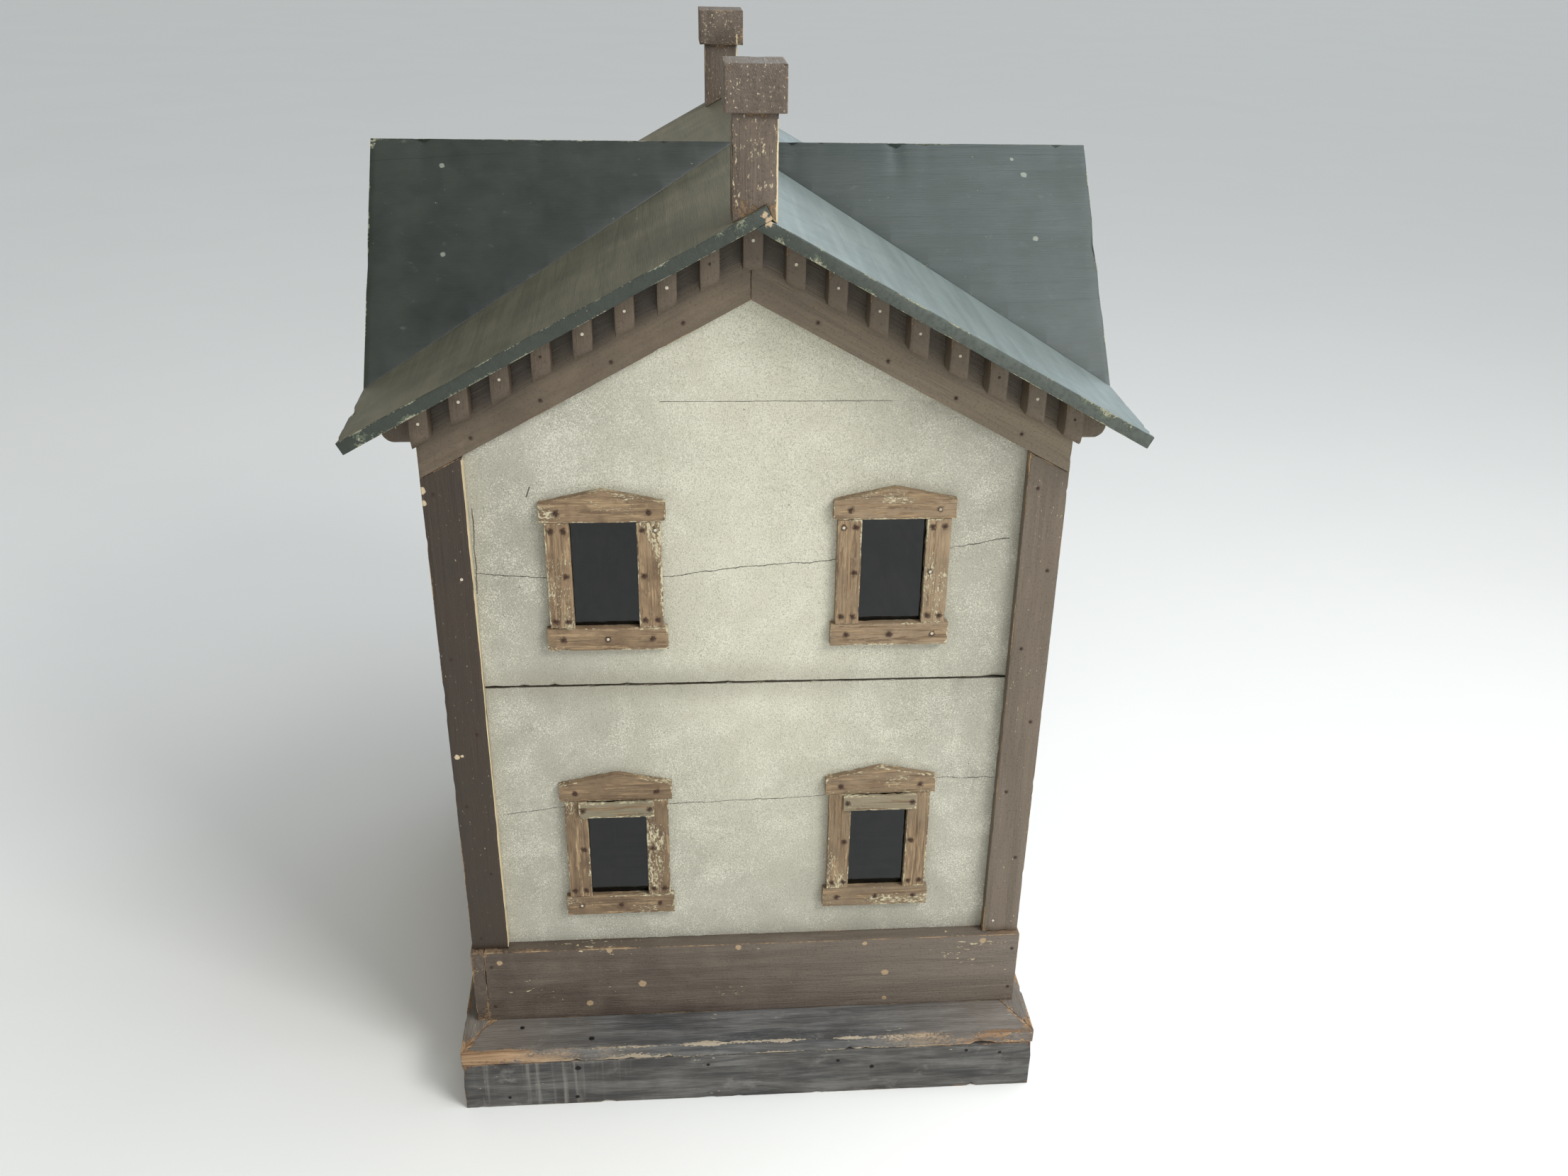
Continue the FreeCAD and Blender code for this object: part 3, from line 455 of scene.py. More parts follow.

# %% [markdown]
# ## Brown oil paint
# The trim is a thick chocolate-brown oil paint with a low shine. It has rubbed
# through to cream primer and tan wood along the arrises. The colour is laid
# lighter from left to right as painted sheen. Under the eaves the paint is laid
# darker as painted shadow of the roof.


# %% Brown trim finish
def brown_paint(name, dark, light, right_sheen, reach=0.0026, amount=0.55, chip=0.3, **extras):
    """Chocolate oil paint with cream and tan showing through."""
    paint = Finish(name, Specular_IOR_Level=0.45)
    grain = paint.grain(0.010, 0.0012)
    clouds = paint.grime(0.05, 1.3)
    speckle = paint.noise(paint.place, 420.0, 3.0, 0.7)
    axes = paint.axes(paint.place)
    paint.start(clouds, dark, light)
    paint.lay(paint.spread(paint.tone, 0.0, 0.25), (84, 68, 56))
    # Lighter towards the right: painted sheen.
    paint.lay(paint.step(axes["X"], -0.20, 0.30), right_sheen)
    paint.lay(grain["Rings"], (56, 46, 38), 0.28)
    paint.lay(paint.step(speckle, 0.52, 0.66), (44, 36, 30), 0.35)
    chips = paint.chips(0.0032, chip)
    paint.lay(chips, (192, 178, 146))
    if "fleck" in extras:
        dust = paint.streaks(paint.board, 170.0, 380.0, 3.0, 0.7)
        dust = paint.step(dust, 0.68 - 0.08 * extras["fleck"], 0.76 - 0.08 * extras["fleck"])
        paint.lay(dust, (198, 184, 154), 0.8)
    worn = paint.worn(reach, amount)
    deep = paint.worn(reach * 0.5, amount - 0.05)
    paint.lay(worn, (124, 100, 76), 0.85)
    paint.lay(paint.times(deep, grain["Fibres"]), (190, 172, 138))
    if "marks" in extras:
        places, colour = extras["marks"]
        paint.lay(paint.marks(places), colour)
    # A pale tan line along a given arris; on the left corner board it is painted highlight on the
    # lit inner side.
    if "line" in extras:
        bare = paint.rest(paint.step(paint.edge, 0.003, 0.005))
        bare = paint.times(bare, split_line(paint, *extras["line"], "ZX"))
        paint.lay(bare, (204, 186, 150))
    paint.lay(paint.rust(0.0034), (48, 30, 22), 0.65)
    # Darker towards the roof under the eaves: painted shadow.
    if "eaves" in extras:
        slope, low, high = extras["eaves"]
        level = paint.plus(axes["Z"], paint.times(paint.size(axes["X"]), slope))
        paint.lay(paint.step(level, low, high), (34, 28, 23), 0.62)
    height = paint.plus(grain["Rings"], paint.times(grain["Fibres"], 0.6))
    height = paint.minus(height, paint.times(worn, 1.6))
    height = paint.minus(height, paint.plus(chips, speckle))
    rough = paint.plus(paint.spread(clouds, 0.46, 0.64), paint.times(worn, 0.25), clamp=True)
    return paint.done(rough, paint.bump(height, 0.00035))


def on_front(depth, spots):
    """Places on a front face, from x, z and radius."""
    return [(x, depth, z, radius) for x, z, radius in spots]


CORNER_SPOTS = ((-0.3042, 0.706, 0.0040), (-0.3038, 0.694, 0.0030))
CORNER_SPOTS += ((-0.2985, 0.421, 0.0030), (-0.2935, 0.422, 0.0018))
CORNER_CHIPS = (on_front(-0.300, CORNER_SPOTS), (196, 178, 146))
SKIRTING_SPOTS = ((-0.276, 0.161, 0.0035), (-0.155, 0.173, 0.0035), (-0.120, 0.125, 0.0048))
SKIRTING_SPOTS += ((-0.012, 0.171, 0.0035), (0.130, 0.170, 0.0030), (0.155, 0.128, 0.0045))
SKIRTING_SPOTS += ((0.265, 0.168, 0.0040), (0.156, 0.091, 0.0030), (-0.180, 0.100, 0.0042))
SKIRTING_CHIPS = (on_front(-0.307, SKIRTING_SPOTS), (166, 142, 112))
# The pale inner arris of the left corner board: painted highlight on its lit inner side.
INNER_ARRIS = (((0.178, -0.2651), (0.735, -0.2651)), 0.00085, 0.0002)
STACK_ARRIS = (((0.94, 0.0182), (1.035, 0.0182)), 0.0008, 0.0012)
EAVE_SLOPE = 0.5317
EAVE_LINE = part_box("front_frieze_left")[1][2]
# Where the painted shadow under the eaves begins and where it is full.
EAVE_SHADOW = (EAVE_SLOPE, EAVE_LINE - 0.048, EAVE_LINE - 0.026)
# The friezes are laid lighter than the corner boards as painted sheen.
FRIEZE_LOOK = ((90, 78, 62), (114, 101, 83), (134, 120, 100))
trim_paint = brown_paint(
    "brown_trim_paint", (47, 39, 30), (60, 50, 39), (112, 100, 86), chip=0.4
)
corner_paint = brown_paint(
    "brown_corner_paint", (42, 35, 27), (55, 46, 36), (112, 100, 86),
    chip=0.4, fleck=0.25, marks=CORNER_CHIPS, line=INNER_ARRIS,
)
frieze_paint = brown_paint("brown_frieze_paint", *FRIEZE_LOOK, amount=0.46)
raking_paint = brown_paint("brown_raking_paint", *FRIEZE_LOOK, amount=0.46, eaves=EAVE_SHADOW)
skirting_paint = brown_paint(
    "brown_skirting_paint", (82, 71, 61), (104, 93, 82), (118, 107, 96),
    amount=0.62, chip=0.6, marks=SKIRTING_CHIPS,
)
bracket_paint = brown_paint(
    "brown_bracket_paint", (80, 68, 55), (100, 87, 71), (112, 99, 82), amount=0.24
)
chimney_trim = brown_paint(
    "worn_chimneys", (82, 70, 60), (108, 94, 81), (106, 94, 82),
    reach=0.0036, amount=0.50, chip=0.9, fleck=1.0, line=STACK_ARRIS,
)
print("brown paints:", trim_paint.name, bracket_paint.name, chimney_trim.name)

# %% [markdown]
# ## Window trim and strips
# Hands and weather have taken most of the paint from the small mouldings round
# the windows. Here the wood is the base and the paint is the patch: a noise
# stretched along the grain decides where brown paint is left and where cream
# undercoat clings to the edges. The right-hand frames are laid lighter, and
# damp has darkened the lower ones.


# %% Worn moulding finishes
def rubbed_paint(name, first, second, wood, cover, cream):
    """Paint rubbed thin over wood; cover is how much paint is left."""
    paint = Finish(name, Specular_IOR_Level=0.35)
    grain = paint.grain(0.0045, 0.0007)
    patches = paint.streaks(paint.board, 22.0, 150.0, 4.0, 0.65)
    spots = paint.noise(paint.board, 160.0, 4.0, 0.65)
    bare = paint.mix(grain["Rings"], wood, (126, 104, 82))
    bare = paint.mix(paint.times(grain["Fibres"], 0.5), bare, (80, 64, 50))
    axes = paint.axes(paint.place)
    paint.start(paint.grime(0.03, 1.3), first, second)
    # Lighter towards the right.
    paint.lay(paint.step(axes["X"], -0.10, 0.20), (190, 170, 140), 0.30)
    paint.lay(paint.step(axes["Z"], 0.52, 0.34), (92, 76, 60), 0.35)
    left = paint.plus(patches, paint.spread(spots, -0.12, 0.12))
    left = paint.plus(left, paint.spread(paint.tone, -0.06, 0.06))
    left = paint.step(left, 0.62 - 0.3 * cover, 0.70 - 0.3 * cover)
    paint.start(left, bare, paint.base)
    lines = paint.streaks(paint.board, 14.0, 620.0, 3.0, 0.7)
    paint.lay(paint.step(lines, 0.52, 0.68), (70, 55, 43), 0.5)
    flakes = paint.maths("MAXIMUM", paint.chips(0.0024, 1.0), paint.chips(0.0013, 1.15))
    flecks = paint.plus(flakes, paint.worn(0.005, cream), clamp=True)
    gaps = paint.step(paint.streaks(paint.board, 190.0, 420.0), 0.42, 0.55)
    flecks = paint.times(flecks, gaps)
    paint.lay(flecks, (206, 196, 164))
    paint.lay(paint.rust(0.0047), (52, 28, 18), 0.85)
    height = paint.plus(paint.times(left, 0.8), grain["Fibres"])
    height = paint.plus(height, paint.times(flecks, 0.9))
    return paint.done(paint.spread(left, 0.82, 0.60), paint.bump(height, 0.0004))


window_trim = rubbed_paint(
    "worn_window_trim", (108, 87, 66), (154, 130, 101), (188, 161, 125), 0.60, 0.40
)
strip_trim = rubbed_paint(
    "worn_strips", (146, 139, 113), (160, 151, 127), (172, 152, 120), 0.80, 0.45
)
print("rubbed paints:", window_trim.name, strip_trim.name)

# %% [markdown]
# ## Green roof paint
# The roof is dark green satin paint, smooth enough to mirror the light behind
# the house. Its roughness therefore matters as much as its colour. The two
# small front slopes are laid lighter: the left one olive as painted sheen, the
# right one a chalky blue-grey as painted reflection of the sky. Each slope gets
# its own mix of the same paint, lighter to the right as painted sheen.

# %% Roof finish
ROOF_SPOTS = (
    (-0.293, -0.023, 0.944, 0.0030),
    (-0.291, -0.096, 0.874, 0.0032),
    (0.286, -0.014, 0.953, 0.0026),
    (0.297, -0.027, 0.940, 0.0034),
    (0.303, -0.081, 0.888, 0.0032),
)
ROOF_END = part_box("front_roof_left")[0][1] * -1
ROOF_CRACK = ((-0.366, -0.0190), (-0.309, -0.0160), (-0.226, -0.0110))
RIDGE_SPLINTER = ((0.0115, -0.358, 0.9575, 0.0042), (0.0075, -0.357, 0.9625, 0.0034))


def green_paint(name, dark, light, sheen_tint, rough):
    """Satin green paint, laid lighter to the right as painted sheen, with its own colour on the
    board ends.
    """
    paint = Finish(name, Specular_IOR_Level=0.55)
    grain = paint.grain(0.014, 0.0013)
    clouds, blotches = paint.grime(0.13, 1.2), paint.grime(0.035)
    axes = paint.axes(paint.place)
    paint.start(clouds, dark, light)
    # Lighter towards the right: painted sheen.
    paint.lay(paint.step(axes["X"], -0.06, 0.22), sheen_tint)
    # The board ends also turn lighter to the right: painted sheen.
    ends = paint.mix(paint.step(axes["X"], -0.05, 0.20), (42, 50, 42), (76, 83, 76))
    mottle = paint.step(paint.noise(paint.place, 260.0, 4.0, 0.7), 0.45, 0.65)
    ends = paint.mix(paint.times(mottle, 0.5), ends, (34, 41, 36))
    paint.lay(paint.step(paint.size(axes["Y"]), ROOF_END - 0.0022, ROOF_END - 0.0012), ends)
    paint.lay(blotches, (72, 75, 64), 0.18)
    paint.lay(grain["Rings"], (28, 34, 30), 0.20)
    scuffs = paint.streaks(paint.board, 40.0, 60.0, 6.0, 0.75)
    paint.lay(paint.step(scuffs, 0.60, 0.78), (104, 110, 104), 0.4)
    chips = paint.chips(0.0036, 0.30)
    paint.lay(chips, (150, 148, 122))
    paint.lay(paint.marks(ROOF_SPOTS), (138, 142, 130), 0.7)
    paint.lay(split_line(paint, ROOF_CRACK, 0.00022, 0.0008, "XY"), (18, 22, 19), 0.8)
    worn, deep = paint.worn(0.0038, 0.38), paint.worn(0.0018, 0.46)
    paint.lay(worn, (86, 94, 80))
    paint.lay(paint.times(deep, grain["Fibres"]), (172, 166, 140))
    paint.lay(paint.marks(RIDGE_SPLINTER, 0.9), (170, 148, 118))
    height = paint.plus(grain["Rings"], paint.times(grain["Fibres"], 0.4))
    height = paint.minus(paint.minus(height, paint.times(worn, 1.5)), chips)
    shine = paint.plus(paint.spread(clouds, rough, rough + 0.12), paint.times(blotches, 0.12))
    shine = paint.plus(shine, paint.times(worn, 0.3), clamp=True)
    return paint.done(shine, paint.bump(height, 0.00025))


# The front slopes are lighter copies of the roof paint: painted sheen on the left one, painted
# reflection of the sky on the right one.
main_roof_paint, left_slope_paint, right_slope_paint = (
    green_paint(*look)
    for look in (
        ("green_main_roof", (20, 27, 22), (32, 38, 32), (46, 58, 55), 0.36),
        ("green_left_slope", (78, 78, 64), (113, 108, 88), (104, 100, 84), 0.42),
        ("green_right_slope", (112, 124, 122), (130, 140, 136), (110, 121, 118), 0.40),
    )
)
print("roof paints:", main_roof_paint.name, left_slope_paint.name, right_slope_paint.name)

# %% [markdown]
# ## Weathered base and ledge
# The plinth has stood on floors and in yards, so its paint has gone grey-black
# with streaks of raw wood. The ledge above it is rubbed through to orange-tan
# wood along its front arris, where hands have held on.


# %% Base and ledge finishes
def weathered_paint(name, dark, light, wood, reach, amount, holes, drip, tan_ends):
    """Paint turned grey by weather, with long streaks and raw edges."""
    paint = Finish(name, Specular_IOR_Level=0.3)
    grain = paint.grain(0.006, 0.0009)
    streaks = paint.streaks(paint.board, 7.0, 70.0, 5.0, 0.65, 0.5)
    clouds = paint.grime(0.06, 1.6)
    axes = paint.axes(paint.place)
    paint.start(paint.step(streaks, 0.35, 0.65), dark, light)
    paint.lay(clouds, (78, 74, 70), 0.45)
    paint.lay(grain["Fibres"], (36, 35, 35), 0.40)
    dust = paint.streaks(paint.board, 30.0, 34.0, 5.0, 0.7)
    paint.lay(paint.step(dust, 0.56, 0.78), (156, 153, 147), 0.5)
    drips = paint.step(paint.streaks(paint.board, 120.0, 5.0, 4.0, 0.6), 0.50, 0.72)
    drips = paint.times(drips, paint.step(axes["X"], -0.08, -0.22))
    paint.lay(drips, (150, 146, 138), drip)
    ends = paint.step(paint.size(axes["X"]), 0.10, 0.30)
    paint.lay(ends, (146, 134, 120), tan_ends)
    broad = paint.times(paint.worn(reach * 2.2, amount), ends)
    worn = paint.maths("MAXIMUM", paint.worn(reach, amount), broad)
    raw = paint.mix(grain["Rings"], wood, (122, 92, 66))
    raw = paint.mix(paint.times(paint.rest(ends), 0.75), raw, (176, 168, 150))
    paint.lay(worn, raw)
    paint.lay(paint.chips(0.004, 0.5), (168, 160, 142))
    paint.lay(paint.marks(holes, 0.35), (22, 18, 16))
    height = paint.plus(grain["Fibres"], paint.times(grain["Rings"], 0.8))
    height = paint.minus(height, paint.times(worn, 1.2))
    return paint.done(paint.spread(clouds, 0.62, 0.85), paint.bump(height, 0.0005))


BASE_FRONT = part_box("base_front_board")[0][1]
BASE_SPOTS = ((-0.194, 0.052, 0.0036), (-0.049, 0.049, 0.0024), (0.098, 0.047, 0.0024))
BASE_SPOTS += ((0.245, 0.054, 0.0024), (0.284, 0.049, 0.0022), (-0.272, 0.013, 0.0022))
BASE_SPOTS += ((-0.197, 0.010, 0.0026), (0.137, 0.036, 0.0030))
BASE_HOLES = on_front(BASE_FRONT, BASE_SPOTS)
LEDGE_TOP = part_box("ledge_front_board")[1][2]
LEDGE_HOLES = ((-0.256, -0.322, LEDGE_TOP, 0.0030), (-0.178, -0.345, LEDGE_TOP, 0.0036))
base_paint = weathered_paint(
    "weathered_base", (68, 68, 68), (126, 124, 120), (140, 118, 94),
    reach=0.003, amount=0.36, holes=BASE_HOLES, drip=0.55, tan_ends=0.0,
)
ledge_paint = weathered_paint(
    "weathered_ledge", (80, 81, 83), (130, 129, 127), (182, 150, 116),
    reach=0.0065, amount=0.52, holes=LEDGE_HOLES, drip=0.0, tan_ends=0.45,
)
print("weathered paints:", base_paint.name, ledge_paint.name)

# %% [markdown]
# ## Bare pine, glass and metal
# Inside, the boards were never painted, so they only need grain and a century
# of yellowing. The panes are old glass with dust, which lives in the roughness.
# Nails, pins and hinges are small, so one noise for tarnish is enough.

# %% Pine and glass finishes
pine = Finish("aged_pine", Specular_IOR_Level=0.3)
grain = pine.grain(0.008, 0.0008)
pine.start(grain["Rings"], (196, 164, 118), (158, 118, 76))
pine.lay(grain["Fibres"], (122, 88, 58), 0.3)
pine.lay(pine.grime(0.09), (120, 96, 72), 0.4)
bare_pine = pine.done(pine.spread(grain["Rings"], 0.6, 0.75), pine.bump(grain["Fibres"], 0.0002))

glass = Finish("old_glass", Transmission_Weight=1.0, IOR=1.45, Specular_IOR_Level=0.2)
streaky = glass.streaks(glass.place, 700.0, 22.0, 3.0, 0.6)
haze = glass.times(glass.grime(0.03, 1.6), glass.spread(streaky, 0.2, 0.8))
haze = glass.plus(haze, glass.step(streaky, 0.66, 0.72), clamp=True)
glass.start(glass.times(haze, 0.6), (72, 84, 92), (120, 122, 116))
waves = glass.noise(glass.place, 22.0, 2.0)
window_glass = glass.done(glass.spread(haze, 0.02, 0.12), glass.bump(waves, 0.0006))
print("pine and glass:", bare_pine.name, window_glass.name)

# %% Metal and knob finishes
iron = Finish("rusty_iron", Metallic=0.0, Specular_IOR_Level=0.4)
scale = iron.noise(iron.place, 700.0, 3.0)
iron.start(scale, (38, 26, 20), (74, 52, 40))
BRACKET_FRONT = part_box("front_brackets")[0][1]
forward_of = iron.axes(iron.place)["Y"]
on_bracket = iron.maths("LESS_THAN", forward_of, BRACKET_FRONT + 0.0015)
on_bracket = iron.times(on_bracket, iron.step(iron.tone, 0.24, 0.26))
painted = iron.maths("MAXIMUM", iron.step(iron.tone, 0.86, 0.88), on_bracket)
iron.lay(painted, (200, 193, 174))
iron_nail = iron.done(iron.spread(scale, 0.6, 0.85), iron.bump(scale, 0.0002))

brass = Finish("tarnished_brass", Metallic=1.0)
tarnish = brass.grime(0.008, 1.5)
brass.start(tarnish, (140, 118, 82), (84, 68, 50))
hinge_brass = brass.done(brass.spread(tarnish, 0.35, 0.65), brass.bump(tarnish, 0.0002))

knob = Finish("turned_knob_wood", Coat_Weight=0.3, Coat_Roughness=0.2)
turned = knob.streaks(knob.place, 220.0, 60.0, 4.0)
knob.start(turned, (74, 46, 32), (112, 76, 52))
knob_wood = knob.done(knob.spread(turned, 0.35, 0.5), knob.bump(turned, 0.0002))
print("metals:", iron_nail.name, hinge_brass.name, knob_wood.name)

# %% [markdown]
# ## Reading the CAD boards
# A CAD node arrives as loose triangles, and one node may hold several boards
# that touch. Welding them all at once would glue neighbours together. The
# triangles come board by board, though, so a list of unpaired edges tells us
# when a board is complete: a closed board has none left over.


# %% Split a node into boards
MICRONS = 1e6


def boards_of(node):
    """Lists of triangles, one list for each closed board of a CAD node."""
    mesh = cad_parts[node].data
    boards, triangles, unpaired = [], [], set()
    for face in mesh.polygons:
        places = [mesh.vertices[v].co for v in face.vertices]
        corners = [tuple(round(c * MICRONS) for c in place) for place in places]
        triangles.append(corners)
        for pair in zip(corners, corners[1:] + corners[:1]):
            unpaired.symmetric_difference_update({frozenset(pair)})
        if not unpaired:
            boards.append(triangles)
            triangles = []
    return boards


def middle_of(triangles):
    """The middle of a board's box, in metres."""
    corners = np.array(triangles).reshape(-1, 3) / MICRONS
    return Vector((corners.min(0) + corners.max(0)) / 2)


nail_places = [middle_of(nail) for nail in boards_of("trim_nails")]
print("nails on the front:", len(nail_places))

# %% [markdown]
# ## Wearing a board
# A worn board is a clean board with four changes. Its arrises are rounded with
# a bevel. It is sliced into a grid, so that it has points to move. Points near
# an arris are pushed in by noise, which leaves nicks and dents. Last, every
# point learns how far it is from an arris and from a nail, which the paint
# reads. Nothing is pushed outwards, so the house keeps its CAD size.


# %% Board measurements
def board_axes(bm, arrises, level=False):
    """Unit vectors along and across a board, from its longest arris."""
    thick = max(bm.faces, key=lambda face: face.calc_area()).normal.normalized()
    if level:
        along = thick.cross(Vector((0, 0, 1))).normalized()
        return along, thick.cross(along).normalized(), thick
    runs = [(b - a) for a, b in arrises]
    flat = [run for run in runs if abs(run.normalized().dot(thick)) < 0.1]
    along = max(flat or runs, key=lambda run: run.length).normalized()
    if max(along, key=abs) < 0:
        along = -along
    return along, thick.cross(along).normalized(), thick


def distance_to_lines(points, lines):
    """Each point's distance from the nearest line, in metres."""
    best = np.full(len(points), 1.0)
    for a, b in lines:
        a, run = np.array(a), np.array(b - a)
        share = np.clip((points - a) @ run / max(run @ run, 1e-12), 0, 1)
        best = np.minimum(best, np.linalg.norm(points - a - share[:, None] * run, axis=1))
    return best


# %% Wear one board
NAIL_CUTS = (-0.0055, -0.003, -0.001, 0.001, 0.003, 0.0055)
VALLEY_SLOPE, VALLEY_SHELTER = 0.5506, 0.022
GABLE_SEAM, SEAM_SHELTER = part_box("front_wall_gable_board")[0][2], 0.004
FAR = 1.0
NICK_LEVEL, NICK_GAIN = 0.30, 3.0
RUB_RATE, RUB_DEPTH = 3.3, 0.00016
WARP_RATE, WARP_DEPTH = 14, 0.00012
THICKNESS_SHARE = 0.25
TONE_STEP = 0.6180339


def near_valley(place):
    """True where two roof slopes meet and shelter each other."""
    return abs(abs(place.y) - VALLEY_SLOPE * abs(place.x)) < VALLEY_SHELTER


def near_gable_seam(place):
    """True at the painted-over joint under the gable board."""
    return abs(place.z - GABLE_SEAM) < SEAM_SHELTER


def wear_board(triangles, style, number):
    """One board's points, faces and carried values, worn to a style."""
    bm = bmesh.new()
    made = {}
    for corners in triangles:
        for corner in corners:
            if corner not in made:
                made[corner] = bm.verts.new([c / MICRONS for c in corner])
        bm.faces.new([made[corner] for corner in corners])
    bmesh.ops.dissolve_limit(bm, angle_limit=0.02, verts=bm.verts, edges=bm.edges)
    bm.normal_update()
    sharp = [e for e in bm.edges if len(e.link_faces) == 2 and e.calc_face_angle() > 0.4]
    arrises = [(e.verts[0].co.copy(), e.verts[1].co.copy()) for e in sharp]
    along, across, thick = board_axes(bm, arrises, style.get("level"))
    spans = []
    for axis in (along, across, thick):
        values = [v.co.dot(axis) for v in bm.verts]
        spans.append((min(values), max(values)))
    thinnest = min(high - low for low, high in spans)
    round_by = min(style["round"], thinnest * 0.2)
    bmesh.ops.bevel(bm, geom=sharp, offset=round_by, segments=2, profile=0.5, affect="EDGES")
    near = nail_places
    for axis, (low, high), slack in zip((along, across, thick), spans, (0, 0, 0.002)):
        near = [n for n in near if low - slack < n.dot(axis) < high + slack]
    for axis, (low, high), pace in zip((along, across), spans, style["grid"]):
        count = max(2, round((high - low) / pace))
        cuts = {round(low + (high - low) * i / count, 5) for i in range(1, count)}
        if style.get("nails"):
            cuts |= {round(n.dot(axis) + shift, 5) for n in near for shift in NAIL_CUTS}
        for cut in sorted(cuts):
            everything = bm.verts[:] + bm.edges[:] + bm.faces[:]
            plane = {"plane_co": axis * cut, "plane_no": axis}
            bmesh.ops.bisect_plane(bm, geom=everything, dist=1e-6, **plane)
    bm.normal_update()
    bm.verts.index_update()
    points = np.array([v.co for v in bm.verts])
    edge = distance_to_lines(points, arrises)
    nail = np.full(len(points), FAR)
    for place in near:
        nail = np.minimum(nail, np.linalg.norm(points - np.array(place), axis=1))
    seed = Vector((number * 3.1, number * 1.7, number * 0.9))
    for place, (vert, reach) in enumerate(zip(bm.verts, edge)):
        if "sheltered" in style and style["sheltered"](vert.co):
            edge[place] = FAR
            continue
        spot = vert.co + seed
        nick = max(0.0, noise.noise(spot * style["nicks"]) - NICK_LEVEL) * NICK_GAIN
        rub = 0.5 + noise.noise(spot * style["nicks"] * RUB_RATE)
        push = (style["dent"] * nick + RUB_DEPTH * rub) * max(0.0, 1 - reach / style["depth"])
        push += style.get("warp", WARP_DEPTH) * (1 + noise.noise(spot * WARP_RATE))
        vert.co -= vert.normal * min(push, thinnest * THICKNESS_SHARE)
    axes = np.array([along, across, thick])
    places = points @ axes.T + np.array(seed) * 0.37
    faces = [[v.index for v in f.verts] for f in bm.faces]
    worn = np.array([v.co for v in bm.verts])
    bm.free()
    tone = np.full(len(worn), (number * TONE_STEP) % 1.0)
    return worn, faces, {"board": places, "edge": edge, "nail": nail, "tone": tone}


print("board wearing ready")

# %% [markdown]
# ## From boards to pieces
# The worn boards of one CAD node become one Blender mesh, which rides on the
# same body and takes over from the node. The carried values become mesh
# attributes, where the shader's Attribute nodes find them.


# %% Build a piece from boards
def fill_mesh(name, parts):
    """One mesh from several worn boards, with their carried values."""
    points = np.concatenate([part[0] for part in parts])
    faces, start = [], 0
    for part in parts:
        faces += [[start + corner for corner in face] for face in part[1]]
        start += len(part[0])
    mesh = bpy.data.meshes.new(name)
    mesh.from_pydata(points.tolist(), [], faces)
    for key in ("board", "edge", "nail", "tone"):
        vector = key == "board"
        made = mesh.attributes.new(key, "FLOAT_VECTOR" if vector else "FLOAT", "POINT")
        values = np.concatenate([part[2][key] for part in parts]).ravel()
        made.data.foreach_set("vector" if vector else "value", values)
    return mesh


def show(name, mesh, material, body, nodes):
    """Make the object, give it its finish and put it on its body."""
    piece = bpy.data.objects.new(name, mesh)
    bpy.context.scene.collection.objects.link(piece)
    mesh.materials.clear()
    mesh.materials.append(material)
    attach(piece, body)
    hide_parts(*nodes)


def smooth_faces(mesh, angle=0.6):
    """Shade the small rounded faces smoothly and keep real corners crisp."""
    mesh.shade_smooth()
    mesh.set_sharp_from_angle(angle=angle)


def worn_piece(node, material, style, body="house"):
    """Replace a CAD node by its boards, worn to a style."""
    boards = boards_of(node)
    start = sum(ord(letter) for letter in node) % 97
    parts = [wear_board(board, style, start + i) for i, board in enumerate(boards)]
    mesh = fill_mesh(node + "_worn", parts)
    smooth_faces(mesh)
    print(f"{node}: {len(boards)} boards, {len(mesh.polygons)} faces")
    show(node + "_worn", mesh, material, body, [node])


# %% [markdown]
# ## Walls
# The wall boards are half an inch thick and sanded over. Only their seams show
# real damage, so their dents are small and sit close to the arris. The open
# seam between the storeys has crumbled at its edges.

# %% Wear the walls
WALL_STYLE = dict(round=0.0005, grid=(0.006, 0.03), nicks=90, dent=0.0016, depth=0.0025)
FRONT_STYLE = dict(WALL_STYLE, round=0.00015, sheltered=near_gable_seam)
for part in ("lower", "upper", "gable"):
    worn_piece(f"front_wall_{part}_board", front_wall_paint, FRONT_STYLE)
for face in ("left", "right", "rear"):
    worn_piece(face + "_wall_boards", side_wall_paint, WALL_STYLE)

# %% [markdown]
# ## Trim boards
# Corner boards, friezes and skirting stand proud of the wall and take the
# knocks. Their arrises are rounder and more nibbled, and the boards with nails
# get extra slices round each nail, so that the rust can be drawn finely.

# %% Wear the trim
TRIM_STYLE = dict(round=0.0006, grid=(0.007, 0.009), nicks=85, dent=0.0014, depth=0.0032)
TRIM_STYLE["nails"] = True
TRIM_PAINTS = (
    ("front_corner_boards", corner_paint),
    ("rear_corner_boards side_corner_boards rear_head_rail", trim_paint),
    ("front_frieze_left front_frieze_right rear_friezes", raking_paint),
    ("side_friezes", frieze_paint),
    ("skirting_front skirting_rear skirting_sides", skirting_paint),
)
for nodes, paint in TRIM_PAINTS:
    for node in nodes.split():
        worn_piece(node, paint, TRIM_STYLE)
for side in ("left", "right"):
    node = "rear_door_" + side
    worn_piece(node, trim_paint, TRIM_STYLE, "door_" + side)

